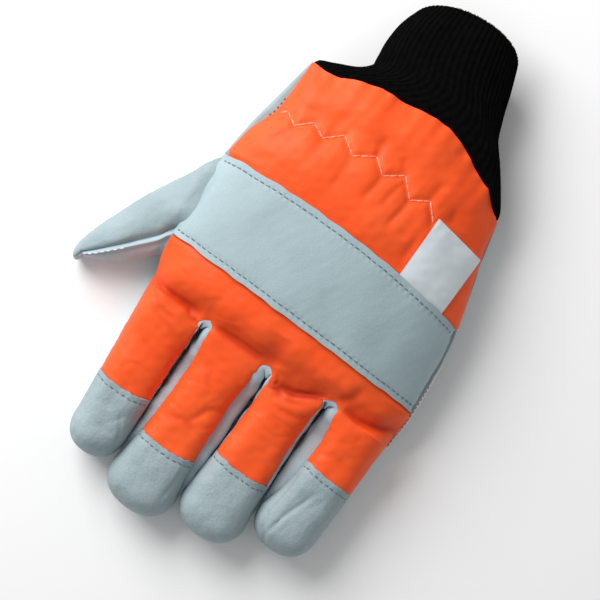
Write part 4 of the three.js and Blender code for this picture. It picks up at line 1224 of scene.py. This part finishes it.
def thumbSheet(angles, grow):
    # rings round a middle line: half the width across, half the height up, flat below; they close at the tip
    rows = np.linspace(0.25, 6, thumb["rows"])
    outerEdge = np.stack([readTable(thumbTable, 1, rows), readTable(thumbTable, 2, rows)], axis=-1)
    innerEdge = np.stack([readTable(thumbTable, 3, rows), readTable(thumbTable, 4, rows)], axis=-1)
    top = readTable(thumbTable, 5, rows) * thumb["height"]
    root = np.array([thumbSide, thumb["root"]])
    size = np.array([thumb["reach"], thumb["length"]])
    outerPlace, innerPlace = root - outerEdge * size, root - innerEdge * size
    middle = (outerPlace + innerPlace) / 2
    half = (outerPlace - innerPlace) / 2
    tip = root - np.array(thumb["tip"][:2]) * size
    tipTop = thumb["tip"][2] * thumb["height"]
    s = np.linspace(0, 1, thumb["tipRows"])[1:, None]
    bend = np.sqrt(1 - s ** 2)
    middle = np.concatenate([middle, mix(middle[-1], tip, s)])
    half = np.concatenate([half, half[-1] * bend])
    top = np.concatenate([top, (2 * tipTop + (top[-1] - 2 * tipTop) * bend[:, 0])])
    closing = np.concatenate([np.ones(len(rows)), bend[:, 0]])
    span = np.linalg.norm(half, axis=1, keepdims=True)
    half = half * (span + grow * closing[:, None]) / np.maximum(span, 1e-6)
    midHeight = (top + thumb["floor"]) / 2
    centre = np.where(closing < 1, mix(tipTop, midHeight, closing), midHeight)
    rise = (top - thumb["floor"]) / 2 * closing + grow * closing
    c, w = np.cos(angles), np.sin(angles)
    up = np.sign(w) * np.abs(w) ** 0.9 * np.where(w < 0, 1 + hand["press"], 1.0)
    xy = middle[:, None, :] + half[:, None, :] * c[None, :, None]
    z = np.maximum(thumb["floor"] - grow, centre[:, None] + rise[:, None] * up[None, :])
    # beside the strap the upper leather runs on, up to the strap's own height
    strapSide = smooth(xy[..., 0], -92.0, -79.0) * smooth(xy[..., 1], 24.0, 36.0)
    strapSide = strapSide * (1 - smooth(xy[..., 1], 58.0, 69.0)) * (w > 0)
    joined = thumb["height"] + grow + thumb["rootRise"] * smooth(xy[..., 0], -86.0, -74.5)
    z = z + np.maximum(joined - z, 0.0) * strapSide
    return np.concatenate([xy, z[..., None]], axis=-1)


seam = np.radians(thumb["seamAngle"])
ridgeRows = []
panels = (
    ("thumbBackLeather", "thumb_back", seam - np.pi, 1, palmLeather),
    ("thumbFrontLeather", "thumb_front", seam, 0, edgeLeather),
)
for name, node, first, side, leather in panels:
    # places are closest together at the seam, where the back panel rolls in and the front panel has a bead
    t = np.linspace(0, 1, thumb["around"])
    angles = first + np.pi * (1 - (1 - t) ** 1.8 if side else t ** 1.8)
    shape = thumbSheet(angles, 0.0)
    under = thumbSheet(angles, -thumb["wall"])
    quads = gridFaces(*shape.shape[:2])
    normals = vertexNormals(shape, quads)
    direction = np.sign(np.einsum("ij,ij->i", normals, (shape - under).reshape(-1, 3)).sum())
    normals = normals * direction
    x, y = shape[..., 0].ravel(), shape[..., 1].ravel()
    away = np.minimum(angles - angles[0], angles[-1] - angles)[None, :] * np.ones((len(shape), 1))
    atSeam = np.abs(angles - seam)[None, :] * np.ones((len(shape), 1))
    # rolls along the seam are bell curves of the angle from it
    rolls = thumb["backLip"] if side else thumb["frontLip"]
    lip = sum(height * np.exp(-(((atSeam - middle) / width) ** 2)) for middle, width, height in rolls)
    lip = lip * (1 - smooth(np.arange(len(shape)), *thumb["lipEnd"]))[:, None]
    relief = rippled(x, y, 95 + side, thumb["waves"]) + rippled(x, y, 97 + side, thumb["wrinkles"])
    relief = relief * smooth(away.ravel(), 0.0, 0.3) + lip.ravel()
    outer = shape.reshape(-1, 3) + normals * relief[:, None]
    addWall(name, outer, under, quads, leather, [node], sharp=50.0)
    if not side:
        grid = outer.reshape(shape.shape)
        row = np.linspace(30, len(grid) - 6, 160)
        beadAngle = first + thumb["frontLip"][0][0]
        col = np.interp(beadAngle, angles, np.arange(thumb["around"])) + np.zeros(160)
        ridgeRows.append(rowOn(grid, normals, row, col))
thumbStitch = {"pitch": 2.9, "length": 1.9, "radius": 0.3, "seed": 9}
addStitches("thumbSeamThread", ridgeRows, paleThread, thumbStitch)
print("thumb")

# ribbed knit wrist
cuff = {
    "length": 54.5,
    "width": 64.0,
    "height": 31.0,
    "offset": -13.3,
    "rimBow": 13.0,
    "rimSlant": 3.0,
    "inset": 0.8,
    "gap": 0.2,
    "wall": 3.0,
    "ribs": 66,
    "ribHeight": 0.24,
    "innerRibHeight": 0.2,
    "pointsPerRib": 7,
    "rows": 60,
    "loopSteps": 38,  # steps of the stitch pattern along the tube
    "waves": (0.35, 20.0, 45.0),
}
# at, thumb side, little finger's side, top
cuffTable = np.array([
    [0.0, 1.0, 1.0, 1.0],
    [0.05, 0.99, 1.0, 0.96],
    [0.11, 0.7, 0.94, 0.89],
    [0.22, 0.22, 0.75, 0.7],
    [0.34, -0.02, 0.46, 0.42],
    [0.46, -0.01, 0.22, 0.22],
    [0.62, 0.03, 0.05, 0.08],
    [0.82, 0.0, -0.13, 0.02],
    [1.0, -0.12, -0.3, 0.0],
])


def cuffSheet(layer, ribHeight):
    # rings from the hand's opening to a narrow tube, each with ribs: a cosine of the place around it
    around = np.arange(cuff["ribs"] * cuff["pointsPerRib"]) / (cuff["ribs"] * cuff["pointsPerRib"])
    angle = 2 * np.pi * around
    across = -np.cos(angle)
    over = np.sin(angle) >= 0
    bulge = np.abs(np.sin(angle)) ** 0.85
    at = np.linspace(0, 1, cuff["rows"])
    thumbSideShare, littleSideShare, topShare = (readTable(cuffTable, i, at)[:, None] for i in (1, 2, 3))
    openThumb = -knuckleWidth / 2 * handTable[0, 1] + cuff["inset"]
    openLittle = knuckleWidth / 2 * handTable[0, 2] - cuff["inset"]
    left = mix(cuff["offset"] - cuff["width"] / 2, openThumb, thumbSideShare)
    right = mix(cuff["offset"] + cuff["width"] / 2, openLittle, littleSideShare)
    openSeam = mix(hand["thumbSeam"], hand["littleSeam"], (across + 1) / 2)[None, :] * 0.9
    seamZ = mix(cuff["height"] / 2, openSeam, topShare)
    top = mix(cuff["height"], hand["height"] * handTable[0, 3] - cuff["inset"], topShare)
    half = (right - left) / 2 - layer
    x = (left + right) / 2 + half * across[None, :]
    backZ = seamZ + (top - layer - seamZ) * bulge[None, :]
    palmZ = np.maximum(layer, seamZ - (seamZ - layer) * (1 + hand["press"]) * bulge[None, :])
    z = np.where(over[None, :], backZ, palmZ)
    openX = (openThumb + openLittle) / 2 + (openLittle - openThumb) / 2 * across
    seen = np.interp(openX, wristLine[:, 0], wristLine[:, 1])
    palmEdge = hand["length"] + hand["wristArch"] / 3 * (1 - across ** 2) - hand["wristSlant"] * across
    start = np.where(over, mix(palmEdge, seen, smooth(bulge, 0.0, 0.3)), palmEdge)[None, :] + cuff["gap"]
    bow = np.where(over, cuff["rimBow"], -cuff["rimBow"] / 2) * bulge
    rim = (hand["length"] + cuff["length"] + bow + cuff["rimSlant"] * across)[None, :]
    y = mix(start, rim, at[:, None])
    points = np.stack([x, y, z], axis=-1)
    rib = ribHeight * np.cos(2 * np.pi * cuff["ribs"] * around)[None, :] * smooth(at, 0.0, 0.06)[:, None]
    return points, np.broadcast_to(rib, x.shape), around, at


shape, rib, around, at = cuffSheet(cuff["ribHeight"], cuff["ribHeight"])
under, ribIn = cuffSheet(cuff["wall"], cuff["innerRibHeight"])[:2]
quads = gridFaces(*shape.shape[:2], wrap=True)


def ringNormals(grid):
    # across the ring's direction in its own plane, pointing away from the ring's middle
    turn = np.roll(grid, -1, axis=1) - np.roll(grid, 1, axis=1)
    normal = np.stack([turn[..., 2], 0 * turn[..., 0], -turn[..., 0]], axis=-1)
    away = grid - grid.mean(axis=1, keepdims=True)
    return unit(normal) * np.sign((normal * away).sum(axis=(1, 2), keepdims=True))


x, y = shape[..., 0], shape[..., 1]
slack = rippled(x, y, 111, cuff["waves"]) * smooth(at, 0.0, 0.15)[:, None]
outer = shape + ringNormals(shape) * (rib + slack - 0.2)[..., None]
outer[..., 2] = np.maximum(outer[..., 2], 0.05)
innerSheet = under + ringNormals(under) * ribIn[..., None]
points, faces = closeWall(outer.reshape(-1, 3), innerSheet.reshape(-1, 3), quads)
steps, ribsAround = np.meshgrid(at * cuff["loopSteps"], around * cuff["ribs"], indexing="ij")
surface = np.stack([ribsAround, steps], axis=-1).reshape(-1, 2)
surface = np.concatenate([surface, surface])
cuffPiece = addMesh("ribbedKnitCuff", points, faceOutwards(points, faces), knit, surface, 70.0)
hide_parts("knit_cuff")

# overlock thread round the open rim
loop = {"pitch": 2.2, "length": 3.2, "radius": 0.36, "seed": 12, "swing": 1.2}
rimPath = (outer[-1] + innerSheet[-1]) / 2 + np.array([0.0, 0.25, 0.0])
rimPath = np.concatenate([rimPath, rimPath[:1]])
addStitches("rimOverlock", [(rimPath, np.broadcast_to(np.array([0.0, 1.0, 0.0]), rimPath.shape))], rimThread,
            loop)
print("knit cuff")

# label, laid on the padding with one edge under the strap
label = {
    "corners": fromPhoto([(482, -87), (541, -80), (541, -7), (484, -9)]),
    "flat": (0.0305, 0.0351),
    "thickness": 0.4,
    "lift": 0.8,
    "curl": 0.9,
    "wave": 0.25,
    "count": 34,
}
a = np.linspace(0, 1, label["count"])[:, None]
b = np.linspace(0, 1, label["count"])[None, :]
c = label["corners"]
flat = (mix(mix(c[3], c[2], b[..., None]), mix(c[0], c[1], b[..., None]), a[..., None])).reshape(-1, 2)
found = onBack(flat[:, 0], flat[:, 1]).reshape(label["count"], label["count"], 3)
level = found[..., 2]
smoothed = level.copy()
for step in range(6):
    smoothed[1:-1] = (smoothed[:-2] + 2 * smoothed[1:-1] + smoothed[2:]) / 4
    smoothed[:, 1:-1] = (smoothed[:, :-2] + 2 * smoothed[:, 1:-1] + smoothed[:, 2:]) / 4
tag = np.concatenate([flat.reshape(found.shape[:2] + (2,)), np.maximum(smoothed, level)[..., None]], axis=-1)
# it lifts out of the seam, curls up at the free edge and waves a little from side to side
lifted = mix(0.1, label["lift"], smooth(a, 0.04, 0.3)) + label["curl"] * a ** 2.5
tag[..., 2] += lifted + label["wave"] * np.sin(2 * np.pi * (b * 1.3 + 0.2)) * a
outer = tag + np.array([0.0, 0.0, label["thickness"]])
cells = gridFaces(label["count"], label["count"])
piece = addWall("wovenLabel", outer, tag, cells, satinLabel(), ["label"])
print("label")

# floor, light and camera
studio = {"floorSize": 4.0, "keySize": 0.8, "keyPower": 14.0, "keyFrom": (-0.78, 0.28, 0.66), "world": 0.38}
half = studio["floorSize"] / 2 / placing["toMetres"]
floorPoints = np.array([[-half, -half, 0], [half, -half, 0], [half, half, 0], [-half, half, 0]])
mesh = bpy.data.meshes.new("studioFloor")
mesh.from_pydata(floorPoints * placing["toMetres"], [], [[0, 1, 2, 3]])
mesh.materials.append(studioPaper())
floor = bpy.data.objects.new("studioFloor", mesh)
bpy.context.scene.collection.objects.link(floor)

world = bpy.data.worlds.new("studio")
bpy.context.scene.world = world
world.use_nodes = True
world.node_tree.nodes["Background"].inputs["Color"].default_value = (1.0, 1.0, 1.0, 1.0)
world.node_tree.nodes["Background"].inputs["Strength"].default_value = studio["world"]


def lookAt(position, target):
    # the turn that points an object's minus z from its position to the target
    back = unit(np.array(position, float) - np.array(target, float))
    side = unit(np.cross((0.0, 0.0, 1.0), back))
    turned = Matrix([list(side), list(np.cross(back, side)), list(back)]).transposed().to_4x4()
    turned.translation = position
    return turned


lamp = bpy.data.lights.new("softKey", "AREA")
lamp.size = studio["keySize"]
lamp.energy = studio["keyPower"]
key = bpy.data.objects.new("softKey", lamp)
key.matrix_world = lookAt(studio["keyFrom"], (0.0, 0.0, 0.02))
bpy.context.scene.collection.objects.link(key)

view = {"centre": (0.0126, -0.0144), "height": 1.525, "lens": 195.7, "sensor": 36.0}
camera = bpy.data.cameras.new("photoCamera")
camera.lens = view["lens"]
camera.sensor_width = view["sensor"]
camera.clip_start = 0.01
cameraPiece = bpy.data.objects.new("photoCamera", camera)
turned = Matrix(((0.8, -0.6, 0.0), (0.6, 0.8, 0.0), (0.0, 0.0, 1.0))).to_4x4()
turned.translation = (*view["centre"], view["height"])
cameraPiece.matrix_world = turned
bpy.context.scene.collection.objects.link(cameraPiece)
bpy.context.scene.camera = cameraPiece
bpy.context.scene.view_settings.view_transform = "Standard"

print("scene ready")
